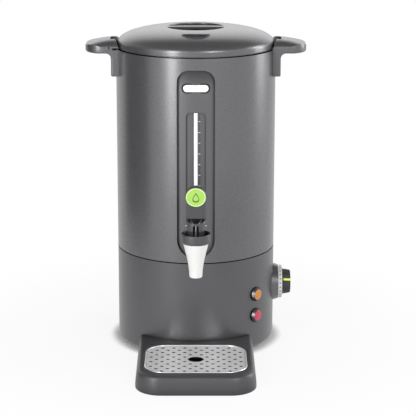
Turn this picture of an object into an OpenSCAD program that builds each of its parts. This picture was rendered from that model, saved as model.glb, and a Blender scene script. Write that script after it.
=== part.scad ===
// Hot water urn with a lever tap, a level gauge, a thermostat knob and a drip tray.
// Every module is drawn about the urn's own vertical axis, with the front towards -Y.

/* [Body] */
// Radius of the painted body
body_r = 115; // [112:1:120]
// Height of the base shell's lower edge above the table
base_z = 3; // [2.5:0.5:4]
// Height of the base shell's upper edge
base_top = 140; // [136:1:146]
// Wall of the base shell
base_wall = 2.5; // [2:0.25:3]
// Rounding of the base shell's lower edge
base_round = 4.5; // [3.5:0.5:9]
// Width of the flat lip under the base shell
base_lip = 9.5; // [7:0.5:12]
// Height of the seam between base and jacket
seam_gap = 1.6; // [1.2:0.1:2.4]
// Height of the jacket's upper edge
jacket_top = 433; // [425:1:445]
// Thickness of the jacket sheet
jacket_wall = 1; // [0.8:0.1:1.5]
// How far the seam ring reaches up and down past the seam
seam_spigot = 3.4; // [3:0.2:4]
// Width of the seam ring
seam_ring_w = 3.5; // [3:0.25:4.5]

/* [Front recess] */
// Width of the front recess
channel_w = 53.2; // [50:0.4:56]
// Height of the recess's lower end above the jacket's lower edge
channel_foot = 6.4; // [6:0.2:8.4]
// Height of the recess's upper end
channel_z1 = 416.8; // [412:0.4:420]
// Radius of its upper corners
channel_corner = 17; // [12:1:22]
// Depth of the recess
channel_depth = 6; // [5.6:0.1:6.6]
// Wall of the recess liner
panel_wall = 1.5; // [1.2:0.1:1.8]
// How far the liner's flange reaches behind the jacket
panel_flange = 5; // [4:0.5:7]
// Width of the badge
badge_w = 37; // [30:1:42]
// Height of the badge
badge_h = 11.4; // [9:0.2:13]
// Height of the badge's middle above the table
badge_z = 390.9; // [385:0.1:395]
// Thickness of the badge
badge_t = 0.8; // [0.5:0.1:1.2]

/* [Level gauge] */
// Width of the gauge groove
groove_w = 28; // [24:1:32]
// Height of the groove's lower end
groove_z0 = 200; // [196:1:204]
// Height of the groove's upper end
groove_z1 = 357; // [350:1:362]
// Depth of the groove below the recess floor
groove_depth = 3.8; // [3.4:0.1:4.2]
// Wall behind the groove
groove_wall = 1; // [0.8:0.1:1.2]
// Radius of the groove's corners
groove_corner = 7; // [4:0.5:9]
// Radius of the level tube
gauge_r = 2.9; // [2.5:0.1:3]
// Bore radius of the level tube
gauge_bore = 1.7; // [1.5:0.1:1.8]
// Length of the plug pin in the tube's top
gauge_plug = 5; // [4:0.5:8]
// Height of the gauge elbow's spigot
elbow_z = 205; // [204:0.5:207]
// Radius of the elbow's spigot
elbow_r = 2.6; // [2.4:0.1:3]
// Height of the elbow's cup around the tube
elbow_cup = 6; // [5:0.5:8]
// Spacing of the level marks, one for every half litre
mark_pitch = 15.3; // [14:0.1:17]
// Number of level marks
mark_count = 8; // [5:1:9]
// Height of the highest level mark
mark_top = 343.8; // [340:0.1:346]
// Length of a level mark
mark_w = 3; // [2:0.25:4]
// Thickness of the scale strip
scale_t = 0.4; // [0.3:0.1:0.6]

/* [Tank] */
// Wall of the tank
tank_wall = 0.8; // [0.6:0.1:1]
// Height of the tank's underside above the deck ring
deck_gap = 3.8; // [3.6:0.2:6]
// Gap between the tank and the groove behind it
tank_gap = 0.4; // [0.3:0.1:1]
// Width of the tank's rim flange
tank_flange = 8; // [6:0.5:9]
// Height of the ring between the tank and the jacket
top_ring_h = 7; // [5:0.5:10]
// Drop of the tank's rim below the jacket's edge
tank_drop = 1.2; // [1:0.1:1.5]
// Thickness of the deck ring
deck_wall = 1.2; // [1:0.1:1.5]
// Distance of the deck ring's inner edge from the body's side
deck_inset = 34.6; // [34:0.2:36]
// Distance of the deck ring's upstand inside the tank's side
upstand_inset = 8.4; // [7:0.2:9]
// Distance of the heat plate's edge from the body's side
heat_inset = 47; // [46:1:55]
// Thickness of the heat plate
heat_t = 7; // [5:0.5:8]
// Radius of the heating element's ring
element_r = 52; // [45:1:58]
// Radius of the element's sheath
element_tube = 3.5; // [3:0.25:4.5]
// Length of the element's cold ends
cold_end = 20; // [15:1:30]

/* [Base fittings] */
// Thickness of the base plate
plate_t = 2; // [1.5:0.25:3]
// Radius of a foot
foot_r = 10.5; // [8:0.5:11]
// Distance of the feet's middles from the body's side
foot_inset = 27; // [27:0.5:31]
// Radius of a foot's neck in the base plate
foot_neck = 3.9; // [3:0.1:4.5]
// Radius of a tie bolt
tie_r = 2.5; // [2:0.25:2.5]
// Width of a tie nut across its corners
tie_nut = 9.2; // [8.2:0.2:9.6]
// Height of a tie nut
tie_nut_h = 3.2; // [2.5:0.1:3.2]
// Height of a tie bolt's head
tie_head_h = 2.5; // [2:0.1:3]
// Radius of a base screw
base_screw_r = 1.75; // [1.5:0.25:2]
// Radius of a base screw's head
base_head_r = 3.2; // [2.8:0.1:3.5]
// Height of a base screw's head
base_head_h = 1.6; // [1.2:0.1:1.8]

/* [Thermostat and knob] */
// Height of the knob's axis
knob_z = 80.8; // [76:0.4:86]
// Radius of the bezel where it meets the body
bezel_r = 28.7; // [27:0.1:31]
// Radius of the bezel's front edge
bezel_face_r = 25.4; // [24.8:0.1:26.5]
// How far the bezel stands out from the body
bezel_h = 7; // [6:0.5:9]
// Radius of the dial ring
dial_r = 24.4; // [22:0.2:24.6]
// Thickness of the dial ring
dial_t = 5.8; // [4:0.2:7]
// Radius of the knob at its foot
knob_r = 19.1; // [17:0.1:20.5]
// Radius of the knob at its face
knob_face_r = 16.8; // [15:0.1:17.5]
// Height of the knob
knob_h = 12.5; // [10:0.5:16]
// Width of the indicator bar on the knob
marker_w = 3.2; // [2:0.2:4]
// Angle of the indicator above the front
marker_angle = 24; // [0:1:45]
// Radius of the thermostat's shaft
shaft_r = 3; // [2.5:0.25:3.5]
// Radius of the thermostat's threaded bush
bush_r = 5; // [4.5:0.25:6]
// Width of the thermostat's housing
stat_w = 36; // [30:1:38]
// Depth of the thermostat's housing
stat_d = 22; // [18:1:24]
// Gap between the thermostat's face and the body's surface
stat_back = 11; // [10:0.5:12]

/* [Lamps] */
// Angle of the lamps round the body from the front
lamp_angle = 48.5; // [44:0.5:52]
// Height of the upper lamp
lamp_hi_z = 84.2; // [82:0.2:90]
// Height of the lower lamp
lamp_lo_z = 52.6; // [45:0.2:56]
// Radius of a lamp's lens
lens_r = 7.4; // [6.5:0.1:7.6]
// Radius of a lamp's bezel where it meets its seal
lamp_bezel_r = 9.5; // [9:0.1:10]
// Radius of a lamp's seal
lamp_seal_r = 10.3; // [10.1:0.1:11]
// Height of a lamp's bezel
lamp_bezel_h = 4; // [3:0.25:5]
// How far the lens stands out of its bezel
lens_dome = 1; // [0.6:0.1:1.5]
// Radius of a lamp's threaded stem
lamp_stem_r = 6; // [5:0.25:6.5]
// Thickness of a lamp's seal
lamp_seal_t = 1.2; // [0.8:0.1:1.5]

/* [Power inlet] */
// Height of the inlet's middle
inlet_z = 40; // [38:1:46]
// Width of the inlet's flange
inlet_w = 48; // [46:0.5:52]
// Height of the inlet's flange
inlet_h = 30; // [28:0.5:32]
// How far the flange stands out from the body
inlet_t = 3; // [2:0.25:4]
// Width of the inlet's socket
socket_w = 24; // [22:0.5:25]
// Height of the inlet's socket
socket_h = 16; // [14:0.5:17]
// Depth of the inlet's socket
socket_d = 16; // [14:0.5:18]
// Wall round the socket
socket_wall = 2; // [1.5:0.25:2.5]

/* [Handles] */
// How far a handle reaches out from the body
handle_reach = 43.5; // [36:0.5:50]
// Width of a handle
handle_w = 70; // [60:1:76]
// Radius of the handle's outer corners
handle_corner = 26; // [18:1:29]
// Height of the handle's edge above its underside
handle_edge = 10.5; // [10:0.25:13]
// Height of the handle's crown above its edge
handle_crown = 8; // [6:0.5:10]
// Height of the handle's underside below the jacket's edge
handle_drop = 5; // [4:0.5:7]
// Thickness of the handle's bracket
bracket_t = 6; // [5:0.5:8]
// Height of the handle's bracket
bracket_h = 33; // [30:1:42]
// Radius of the fillet under the handle
handle_fillet = 7; // [4:0.5:9]
// Distance of a handle screw from the handle's middle
handle_screw_y = 17; // [14:0.5:20]
// Radius of a handle screw
handle_screw_r = 2; // [1.75:0.25:2.5]

/* [Lid] */
// Distance of the lid's edge inside the body's side
lid_inset = 2; // [1.8:0.1:2.5]
// Gap between the lid's edge and the jacket's edge
lid_gap = 1.2; // [1:0.1:1.4]
// Height of the lid's straight edge
lid_skirt = 10.8; // [9:0.2:13]
// Rise of the lid's dome
lid_rise = 18; // [14:0.5:24]
// Wall of the lid's cover
lid_wall = 2; // [1.5:0.1:2.5]
// Radius of the round grip recess
grip_r = 40.5; // [36:0.5:44]
// Width of the grip bar
bar_w = 14; // [12:0.5:18]
// Thickness of the grip bar
bar_t = 7; // [5:0.5:9]
// Depth of the grip recess
grip_depth = 15; // [14:0.5:17]
// Distance of the lid vent's straight side from the lid's edge
vent_inset = 46; // [43:0.5:51]
// Radius of the half-moon lid vent
vent_r = 20; // [16:0.5:21]
// Depth of the lid vent
vent_depth = 8; // [6:0.5:9]
// Radius of the steam holes in the lid
steam_r = 1.5; // [1:0.25:2]
// Depth of the lid's steel pan
pan_depth = 9.8; // [9:0.2:12]
// Thickness of the lid's steel pan
pan_wall = 0.8; // [0.6:0.1:1]
// Clearance between the lid's pan and the tank
pan_gap = 3; // [2:0.25:4]
// Height of the silicone lid seal
seal_h = 1.9; // [1.8:0.05:2]
// Reach of a lid lug past the lid's edge
lug_reach = 8.5; // [6:0.5:9]
// Thickness of a lid lug
lug_t = 1.8; // [1.4:0.1:2]
// Half the angle of a lid lug
lug_angle = 6; // [4:0.5:7]

/* [Tap] */
// Distance of the tap's spindle from the body's front
tap_reach = 50; // [45:1:57]
// Height of the tap's shank
tap_z = 177; // [176:0.2:178]
// Radius of the tap's shank
shank_r = 8.5; // [8:0.1:8.8]
// Bore radius of the shank
shank_bore = 5; // [4:0.25:5.5]
// Radius of the tap's chamber
chamber_r = 11; // [10:0.25:11.5]
// Height of the valve seat
seat_z = 170; // [169.5:0.25:170.5]
// Bore radius of the outlet
outlet_bore = 6; // [5:0.25:6.5]
// Height of the nozzle's tip
nozzle_z = 136.3; // [132:0.1:140]
// Radius of the nozzle's tip
nozzle_r = 9; // [8:0.1:9.4]
// Radius of the tap body at its top
tap_top_r = 18; // [16:0.1:18.5]
// Height of the tap body's top
tap_top_z = 186; // [185.8:0.1:186.6]
// Radius of the dark cup
cup_r = 20.6; // [19:0.1:22]
// Height of the dark cup
cup_h = 13.3; // [11:0.1:15]
// Wall of the dark cup
cup_wall = 2; // [1.5:0.1:2.5]
// Outer radius of the neck
neck_r = 13.5; // [13.2:0.1:14.5]
// Wall of the neck
neck_wall = 2.2; // [1.8:0.1:2.3]
// Height of the neck's lower edge
neck_low = 204; // [202:0.5:205]
// Outer radius of the waist under the neck
waist_r = 11.4; // [11:0.1:12]
// Height of the neck's mouth at its back
neck_z1 = 222; // [219:0.5:225]
// Height of the neck's mouth at its front
neck_z0 = 215.6; // [214:0.1:216]
// Width of the slot in the neck's front
slot_w = 8; // [7:0.25:9]
// Radius of the spindle
stem_r = 2.3; // [2:0.1:2.4]
// Height of the spindle's cross head
head_z = 212.8; // [212.6:0.1:213]
// Radius of the spindle's cross head
head_r = 1.5; // [1.25:0.05:1.6]
// Radius of the silicone seat cup
seat_r = 8; // [7:0.25:9]
// Thickness of the silicone seat cup
seat_t = 3; // [2.5:0.25:4]
// Radius of the spring
spring_r = 5; // [4.6:0.1:6]
// Radius of the spring's wire
spring_wire = 0.5; // [0.4:0.05:0.7]
// Number of turns in the spring
spring_turns = 4; // [3:1:5]

/* [Tap lever] */
// Distance of the lever's pin in front of the spindle
pivot_y = 4; // [3.8:0.1:4.4]
// Height of the lever's pin
pivot_z = 211; // [210.8:0.1:211.2]
// Radius of the lever's pin
pin_r = 1.5; // [1.2:0.1:1.6]
// How far the pins stand out of the neck
pin_proud = 1.6; // [0.4:0.1:2]
// Lean of the lever to the front
lever_lean = 9; // [7:0.5:11]
// Width of the lever
lever_w = 27; // [24:0.5:28]
// Thickness of the lever
lever_t = 7; // [5:0.25:7.5]
// Height of the lever's lower edge above the pin
lever_foot = 11; // [10.6:0.1:12]
// Height of the green disc's middle above the pin
disc_w = 44.1; // [40:0.1:48]
// Radius of the lever's round head
lever_head_r = 14.4; // [14:0.1:15.5]
// Depth of the lever's round head
lever_head_t = 8.7; // [8:0.1:10]
// Radius of the green disc
disc_r = 13.6; // [12:0.1:13.8]
// Thickness of the green disc
disc_t = 2; // [1.5:0.1:2.5]
// Half the gap between the lever's two tails
tail_in = 4.6; // [4.3:0.1:4.7]
// Thickness of a tail
tail_t = 1.3; // [1:0.1:1.4]
// Thickness of a cheek
cheek_t = 1.8; // [1.4:0.1:2]

/* [Drip tray] */
// How far the drip tray reaches in front of the body
tray_reach = 153; // [140:1:165]
// Width of the drip tray
tray_w = 166; // [154:1:177]
// Height of the drip tray
tray_h = 26; // [22:1:32]
// Radius of the tray's front corners
tray_corner = 36; // [26:1:42]
// Wall of the tray
tray_wall = 2.5; // [2:0.25:3]
// Gap between the tray and the body
tray_gap = 0.6; // [0.4:0.1:0.9]
// Width of the tongue under the base
tongue_w = 70; // [50:1:76]
// Reach of the tongue under the base
tongue_reach = 25; // [15:1:28]
// Thickness of the tongue
tongue_t = 1.8; // [1.4:0.1:2]
// Width of the grille
grille_w = 142; // [130:1:146]
// Depth of the grille
grille_d = 118; // [106:1:122]
// Thickness of the grille
grille_t = 1.2; // [1:0.1:2]
// Drop of the grille below the tray's rim
grille_drop = 2; // [1:0.25:3]
// Radius of the grille's corners
grille_corner = 30; // [22:1:34]
// Width of the tray's front rim
tray_front = 21; // [18:1:24]
// Width of the ledge under the grille
ledge_w = 2; // [1.5:0.25:3]
// Radius of the finger hole
finger_r = 11; // [9:0.5:13]
// Radius of a drain hole
drain_r = 2.1; // [1.6:0.1:2.4]
// Spacing of the drain holes across
drain_x = 15.6; // [14:0.2:18]
// Spacing of the rows of drain holes
drain_y = 9.5; // [8.5:0.1:11]

/* [Hidden] */
$fn = 96;

// Small clearances, shared by all fits
fit = 0.1;
clear = 0.3;
run = 0.05;
past = 1;

// Heights
jacket_z = base_top + seam_gap;
seam_top = jacket_z + seam_spigot;
deck_top = seam_top + deck_wall;
channel_z0 = jacket_z + channel_foot;
tank_z = deck_top + deck_gap;
plate_z = base_z + base_wall;
plate_top = plate_z + plate_t;
tank_top = jacket_top - tank_drop;
lid_z = jacket_top + lid_gap;
dome_z = lid_z + lid_skirt;
dome_top = dome_z + lid_rise;
pan_top = tank_top + fit + seal_h + pan_wall;
pan_z = pan_top - pan_depth - pan_wall;
grip_z = dome_top - grip_depth;
heat_z = tank_z - heat_t;
element_z = heat_z - element_tube;

// Radii
jacket_ir = body_r - jacket_wall;
base_ir = body_r - base_wall;
plate_r = body_r - base_round - fit;
lip_r = body_r - base_round - base_lip;
channel_r = body_r - channel_depth;
groove_r = channel_r - groove_depth;
tank_r = groove_r - groove_wall - tank_gap;
tank_ir = tank_r - tank_wall;
flange_r = tank_ir + tank_flange;
lid_r = body_r - lid_inset;
vent_y = lid_r - vent_inset;

// Gauge elbow
gauge_y = groove_r + gauge_r + fit;
elbow_wall = 1.1;
elbow_bore = gauge_bore - 2 * fit;
elbow_seat = elbow_z + elbow_r + clear;
elbow_low = elbow_z - elbow_r - clear;

// Places along the front and the back
tray_y = body_r + tray_reach;
inlet_y = body_r + inlet_t;
axis_y = (tray_y - inlet_y) / 2;
grille_y = tray_y - tray_front - grille_d / 2;
grille_z = tray_h - grille_drop - grille_t;
rear_y = sqrt(pow(body_r + tray_gap, 2) - tray_w * tray_w / 4);
tap_y = body_r + tap_reach;
lever_y = tap_y + pivot_y;

// Deck ring, heat plate and element
deck_bore = body_r - deck_inset;
upstand_r = tank_r - upstand_inset;
heat_r = body_r - heat_inset;
element_gap = 16;
element_collar = 0.6;
element_pin = 8;
element_low = element_z - cold_end - element_pin;
element_end = element_r * [cos(element_gap / 2), sin(element_gap / 2)];

// Feet and tie bolts
foot_pcd = body_r - foot_inset;
foot_bead = 1.3;
foot_bead_h = 1.5;
tie_pcd = deck_bore + tie_nut / 2 + 2 * clear;

// Knob and thermostat
stat_x = body_r - stat_back;
bezel_x = body_r + bezel_h;
knob_x = bezel_x + dial_t + clear;
nut_h = 3;
nut_wall = 3;
bush_x = body_r + nut_h;
boss_wall = 4;
peg_r = 2;
peg_y = bush_r + boss_wall + peg_r + 4;
peg_len = 4;
shaft_seat = 6;
knob_cap = 4;
marker_sunk = 5;
marker_foot = 2;
marker_proud = 0.4;
bezel_wall = 2;
bezel_sunk = 4;
hub_r = 8;

// Capillary and its bulb
bulb_x = heat_r + 7;
bulb_r = 2.6;
bulb_len = 24;
bulb_z = tank_z - bulb_r;
clip_t = 0.8;
clip_w = 8;
capillary_r = 0.8;
capillary_side = bulb_len / 2 + 3;
capillary_z = deck_top - 14;

// Cut-out with its reset button and its sensor under the heat plate
cutout_x = -48;
cutout_w = 30;
cutout_d = 26;
cutout_h = 22;
sensor_r = 2.5;
sensor_half = 16;
sensor_lead_r = 1;
sensor_drop = 20;
reset_r = 3.4;
reset_wall = 1.6;
reset_sunk = 6;
reset_travel = 2.5;
reset_top = plate_top + reset_r + reset_sunk;

// Terminal block and leads
block_w = 44;
block_d = 14;
block_h = 16;
block_y = 52;
terminal_z = plate_top + block_h;
terminal_r = 3;
terminal_h = 2;
block_z = plate_top + block_h / 2;
wire_r = 1.2;
wire_bend = 6;
wire_space = 3;
wire_side = block_w / 2 + 12;
wire_back = 20;

// Lamps
lamp_x = body_r + lamp_seal_t;
lens_x = lamp_x + lamp_bezel_h;
lens_seat_x = lamp_x + 0.8;
lens_lip = 0.4;
lamp_stem_len = 10;
lamp_stem_wall = 2;
lamp_nut_r = 9;

// Power inlet
inlet_corner = 4;
socket_corner = 3;
inlet_lap = 4;
inlet_screw_r = 1.6;
inlet_head_r = 2.9;
inlet_head_h = 1.5;
inlet_screw_x = inlet_w / 2 - 4.5;
pin_x = 7;
pin_w = 2;
pin_h = 4;
pin_tail = 5;
pin_sunk = 5;
inlet_back = inlet_y - socket_d - socket_wall;

// Handles
handle_z = jacket_top - handle_drop;
handle_rim = handle_z + handle_edge;
handle_top = handle_rim + handle_crown;
handle_tip = body_r + handle_reach;
bracket_z = handle_z - bracket_h;
bracket_x = body_r + bracket_t;
handle_screw_z = handle_z - bracket_h / 2;
lid_room = 1.4;
lug_z = lid_z - 0.6;
slot_z0 = jacket_top;
slot_z1 = lug_z + lug_t + 0.5;
slot_r = lid_r + lug_reach + 2.5;
notch_half = lug_angle + 0.6;
slot_end = 1.8 * asin(handle_w / 2 / slot_r);
screw_nose = 2;
strap_edge = 7;
strap_w = 2 * (handle_screw_y + strap_edge);
strap_h = 16;
strap_t = 2;
strap_x = sqrt(jacket_ir * jacket_ir - strap_w * strap_w / 4) - fit;
screw_head_h = 2.4;

// Lid
dome_steps = 14;
cup_floor = 2;
cup_side = 1.5;
cup_flange = 5;
cup_flange_t = 1.3;
boss_r = 8;
spigot_r = 6;
lid_screw_r = 2.5;
washer_lap = 4;
washer_t = 1.5;
rib_w = 2.5;
vent_wall = 1.5;
steam_x = 9;
steam_y = vent_y + 6;

// Tap
tap_flange_y = channel_r + 4;
tap_flange_t = 3;
tap_lap = 5;
shank_tail = 13;
washer_back = 3;
washer_face = tank_ir - 4;
tap_nut_lap = 6.5;
tap_nut_t = 6;
around_tap = 20;
cup_floor_t = 3.5;
neck_floor = 2;
slot_over = 3;
spring_top = tap_top_z - 4;
seat_top = seat_z + fit + seat_t;
stem_sunk = 1.5;
collar_r = spring_r + spring_wire + 0.4;
collar_t = 1;
hub = 2.4;
tail_past = 2.5;
cheek_in = tail_in + tail_t + clear;
tail_top = head_z - head_r - clear - pivot_z;
disc_y = lever_head_t - lever_t / 2;

// Colours
body_grey = [0.36, 0.36, 0.37];
dark_grey = [0.16, 0.16, 0.17];
steel = [0.75, 0.76, 0.77];
chrome = [0.86, 0.87, 0.89];
black = [0.07, 0.07, 0.07];
brass = [0.78, 0.65, 0.35];

// --- Shared shapes ---

module on_axis() translate([0, axis_y, 0]) children();

module disc(r, z_lo, z_hi) translate([0, 0, z_lo]) cylinder(r = r, h = z_hi - z_lo);

module ring(r_out, r_in, z_lo, z_hi) difference() {
    disc(r_out, z_lo, z_hi);
    disc(r_in, z_lo - past, z_hi + past);
}

// A rod along X between two places
module rod_x(x_lo, x_hi, r) translate([x_lo, 0, 0]) rotate([0, 90, 0]) cylinder(r = r, h = x_hi - x_lo);

// A rod towards the front between two distances from the axis
module rod_y(y_lo, y_hi, r) translate([0, -y_lo, 0]) rotate([90, 0, 0]) cylinder(r = r, h = y_hi - y_lo);

// A drawing in the XZ plane, made solid between two distances in front of the axis
module slab_y(y_lo, y_hi) translate([0, -y_lo, 0]) rotate([90, 0, 0]) linear_extrude(y_hi - y_lo) children();

module box(x_lo, x_hi, y_lo, y_hi, z_lo, z_hi)
    translate([x_lo, y_lo, z_lo]) cube([x_hi - x_lo, y_hi - y_lo, z_hi - z_lo]);

module round_rect(w, h, r) union() {
    square([w - 2 * r, h], center = true);
    square([w, h - 2 * r], center = true);
    for (sx = [-1, 1], sy = [-1, 1]) translate([sx * (w / 2 - r), sy * (h / 2 - r)]) circle(r = r);
}

// A wedge about the vertical axis between two angles, less than half a turn apart
module wedge(r, from, to, z_lo, z_hi) {
    far = r / cos((to - from) / 2);
    translate([0, 0, z_lo]) linear_extrude(z_hi - z_lo)
        polygon([[0, 0], far * [cos(from), sin(from)], far * [cos(to), sin(to)]]);
}

// A lead or a thin pipe through a list of points. Its stretches run past each other at the bends
module lead(points, r) union() {
    last = len(points) - 2;
    for (i = [0 : last]) {
        step = points[i + 1] - points[i];
        flat = norm([step[0], step[1]]);
        before = i == 0 ? 0 : r;
        after = i == last ? 0 : r;
        translate(points[i]) rotate([0, atan2(flat, step[2]), atan2(step[1], step[0])])
            translate([0, 0, -before]) cylinder(r = r, h = norm(step) + before + after, $fn = 8);
    }
}

// --- Upper body ---

module channel_outline(grow = 0) {
    half = channel_w / 2 + grow;
    corner = channel_corner + grow;
    low = channel_z0 + channel_w / 2;
    translate([0, low]) circle(r = half);
    translate([-half, low]) square([2 * half, channel_z1 + grow - corner - low]);
    translate([corner - half, low]) square([2 * (half - corner), channel_z1 + grow - low]);
    for (s = [-1, 1]) translate([s * (half - corner), channel_z1 + grow - corner]) circle(r = corner);
}

module groove_outline(grow = 0)
    translate([0, (groove_z0 + groove_z1) / 2])
        round_rect(groove_w + 2 * grow, groove_z1 - groove_z0 + 2 * grow, groove_corner + grow);

module handle_screw_holes(x_lo, x_hi)
    for (turn = [0, 180], s = [-1, 1]) rotate([0, 0, turn])
        translate([0, s * handle_screw_y, handle_screw_z]) rod_x(x_lo, x_hi, handle_screw_r + fit);

module jacket() color(body_grey) on_axis() difference() {
    ring(body_r, jacket_ir, jacket_z, jacket_top);
    slab_y(tank_ir / 2, body_r + past) channel_outline();
    handle_screw_holes(tank_r, body_r + past);
}

module recess_panel() color(body_grey) on_axis() difference() {
    union() {
        intersection() {
            ring(jacket_ir - fit, channel_r - panel_wall, deck_top, jacket_top);
            slab_y(tank_ir / 2, body_r) channel_outline(panel_wall);
        }
        intersection() {
            ring(jacket_ir - fit, jacket_ir - fit - panel_wall, deck_top, jacket_top);
            slab_y(tank_ir / 2, body_r) channel_outline(panel_flange);
        }
        intersection() {
            ring(channel_r, groove_r - groove_wall, deck_top, jacket_top);
            slab_y(tank_ir / 2, body_r) groove_outline(groove_wall);
        }
    }
    difference() {
        slab_y(tank_ir / 2, body_r + past) channel_outline();
        disc(channel_r, deck_top, jacket_top);
        translate([0, -gauge_y, 0]) disc(gauge_bore - fit, groove_z1 - gauge_plug, groove_z1 + fit);
    }
    difference() {
        slab_y(tank_ir / 2, body_r + past) groove_outline();
        disc(groove_r, deck_top, jacket_top);
        translate([0, -gauge_y, 0]) disc(gauge_bore - fit, groove_z1 - gauge_plug, groove_z1 + fit);
    }
    translate([0, 0, tap_z]) rod_y(tank_ir / 2, body_r, shank_r + fit);
    translate([0, 0, elbow_z]) rod_y(tank_ir / 2, groove_r + past, elbow_r + fit);
    disc(body_r, jacket_z, deck_top + clear);
}

module badge_plate() color(steel) on_axis() intersection() {
    ring(channel_r + badge_t, channel_r, channel_z0, channel_z1);
    slab_y(tank_ir / 2, body_r) translate([0, badge_z]) round_rect(badge_w, badge_h, badge_h / 2 - fit);
}

// The tube ends just under the groove's ceiling
module gauge_tube() color("white") on_axis() translate([0, -gauge_y, 0])
    ring(gauge_r, gauge_bore, elbow_seat, groove_z1 - clear);

module level_scale() color("white") on_axis() {
    strip_x = gauge_r + clear;
    low = mark_top - (mark_count - 1) * mark_pitch;
    intersection() {
        ring(groove_r + scale_t, groove_r, groove_z0, groove_z1);
        box(strip_x, strip_x + mark_w + 2 * scale_t, -body_r, 0, low - mark_w, mark_top + mark_w);
    }
    intersection() {
        ring(groove_r + 2 * scale_t, groove_r + scale_t, groove_z0, groove_z1);
        for (i = [0 : mark_count - 1])
            box(strip_x, strip_x + mark_w, -body_r, 0, mark_top - i * mark_pitch - scale_t,
                mark_top - i * mark_pitch + scale_t);
    }
}

module gauge_elbow() color(chrome) on_axis() difference() {
    cup_top = elbow_seat + elbow_cup;
    union() {
        difference() {
            translate([0, -gauge_y, 0]) disc(gauge_r + elbow_wall, elbow_low, cup_top);
            disc(groove_r + fit / 2, elbow_low - past, cup_top + past);
        }
        translate([0, 0, elbow_z]) rod_y(tank_ir - elbow_cup, gauge_y, elbow_r);
    }
    translate([0, -gauge_y, 0]) disc(gauge_r + run, elbow_seat, cup_top + past);
    translate([0, 0, elbow_z]) rod_y(tank_ir - elbow_cup - past, gauge_y, elbow_bore);
    translate([0, -gauge_y, 0]) disc(elbow_bore + fit, elbow_z, elbow_seat + past);
}

module top_ring() color(dark_grey) on_axis() union() {
    ring(jacket_ir - fit, tank_r + fit, tank_top - tank_wall - top_ring_h, tank_top - tank_wall);
    ring(jacket_ir - fit, flange_r + fit, tank_top - tank_wall, jacket_top);
}

module tank() color(steel) on_axis() difference() {
    union() {
        disc(tank_r, tank_z, tank_top);
        disc(flange_r, tank_top - tank_wall, tank_top);
    }
    disc(tank_ir, tank_z + tank_wall, tank_top + past);
    translate([0, 0, tap_z]) rod_y(tank_ir / 2, body_r, shank_r + fit);
    translate([0, 0, elbow_z]) rod_y(tank_ir / 2, body_r, elbow_r + fit);
}

module tie_places() for (turn = [30, 150, 270]) rotate([0, 0, turn]) translate([tie_pcd, 0, 0]) children();

module deck_ring() color(steel) on_axis() difference() {
    union() {
        ring(jacket_ir - panel_wall - 2 * fit, deck_bore, seam_top, deck_top);
        ring(upstand_r + deck_wall, upstand_r, deck_top - deck_wall / 2, tank_z);
    }
    tie_places() disc(tie_r + fit, seam_top - past, deck_top + past);
}

module seam_ring() color(black) on_axis() union() {
    seam_ir = jacket_ir - seam_ring_w;
    ring(jacket_ir - fit, seam_ir, base_top, seam_top);
    ring(base_ir - fit, seam_ir, base_top - seam_spigot, base_top);
}

module heat_plate() color([0.7, 0.7, 0.72]) on_axis() disc(heat_r, heat_z, tank_z);

module heating_element() color([0.45, 0.42, 0.4]) on_axis() {
    half = element_gap / 2;
    translate([0, 0, element_z]) rotate([0, 0, half]) rotate_extrude(angle = 360 - element_gap)
        translate([element_r, 0]) circle(r = element_tube, $fn = 32);
    for (a = [-half, half]) rotate([0, 0, a]) translate([element_r, 0, 0]) {
        disc(element_tube + element_collar, element_z - cold_end, heat_z);
        disc(element_tube / 3, element_low, element_z - cold_end);
    }
}

// --- Base ---

module base_profile() difference() {
    union() {
        translate([0, base_z + base_round]) square([body_r, base_top - base_z - base_round]);
        translate([0, base_z]) square([body_r - base_round, base_round + past]);
        translate([body_r - base_round, base_z + base_round]) circle(r = base_round);
    }
    translate([-past, base_z + base_round]) square([base_ir + past, base_top]);
    translate([-past, plate_z]) square([body_r - base_round + past, base_round]);
    translate([body_r - base_round, base_z + base_round]) circle(r = base_round - base_wall);
    translate([-past, 0]) square([lip_r + past, base_top]);
    translate([-body_r, 0]) square([body_r, base_top + past]);
}

module lamp_places() rotate([0, 0, lamp_angle - 90])
    for (z = [lamp_lo_z, lamp_hi_z]) translate([0, 0, z]) children();

module base_screw_places() for (turn = [30, 150, 210, 330])
    rotate([0, 0, turn]) translate([lip_r + base_head_r + fit, 0, 0]) children();

module inlet_outline(grow = 0)
    translate([0, inlet_z]) square([socket_w + 2 * socket_wall + 2 * grow,
        socket_h + 2 * socket_wall + 2 * grow], center = true);

module inlet_screw_places()
    for (s = [-1, 1]) translate([s * inlet_screw_x, 0, inlet_z]) children();

module base_shell() color(body_grey) on_axis() difference() {
    union() {
        rotate_extrude() base_profile();
        translate([0, 0, knob_z]) difference() {
            rod_x(stat_x, base_ir, bush_r + boss_wall);
            rod_x(stat_x - past, body_r, bush_r + fit);
        }
    }
    translate([0, 0, knob_z]) {
        rod_x(base_ir - boss_wall, body_r + past, bush_r + fit);
        for (s = [-1, 1]) translate([0, s * peg_y, 0]) rod_x(stat_x, body_r + past, peg_r + fit);
    }
    lamp_places() rod_x(tank_r, body_r + past, lamp_stem_r + fit);
    mirror([0, 1, 0]) {
        slab_y(lip_r, body_r + past) inlet_outline(fit);
        inlet_screw_places() rod_y(lip_r, body_r + past, inlet_screw_r + fit);
    }
    base_screw_places() disc(base_screw_r + fit, 0, plate_top);
}

module foot_places() for (turn = [45 : 90 : 315]) rotate([0, 0, turn]) translate([foot_pcd, 0, 0]) children();

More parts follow.
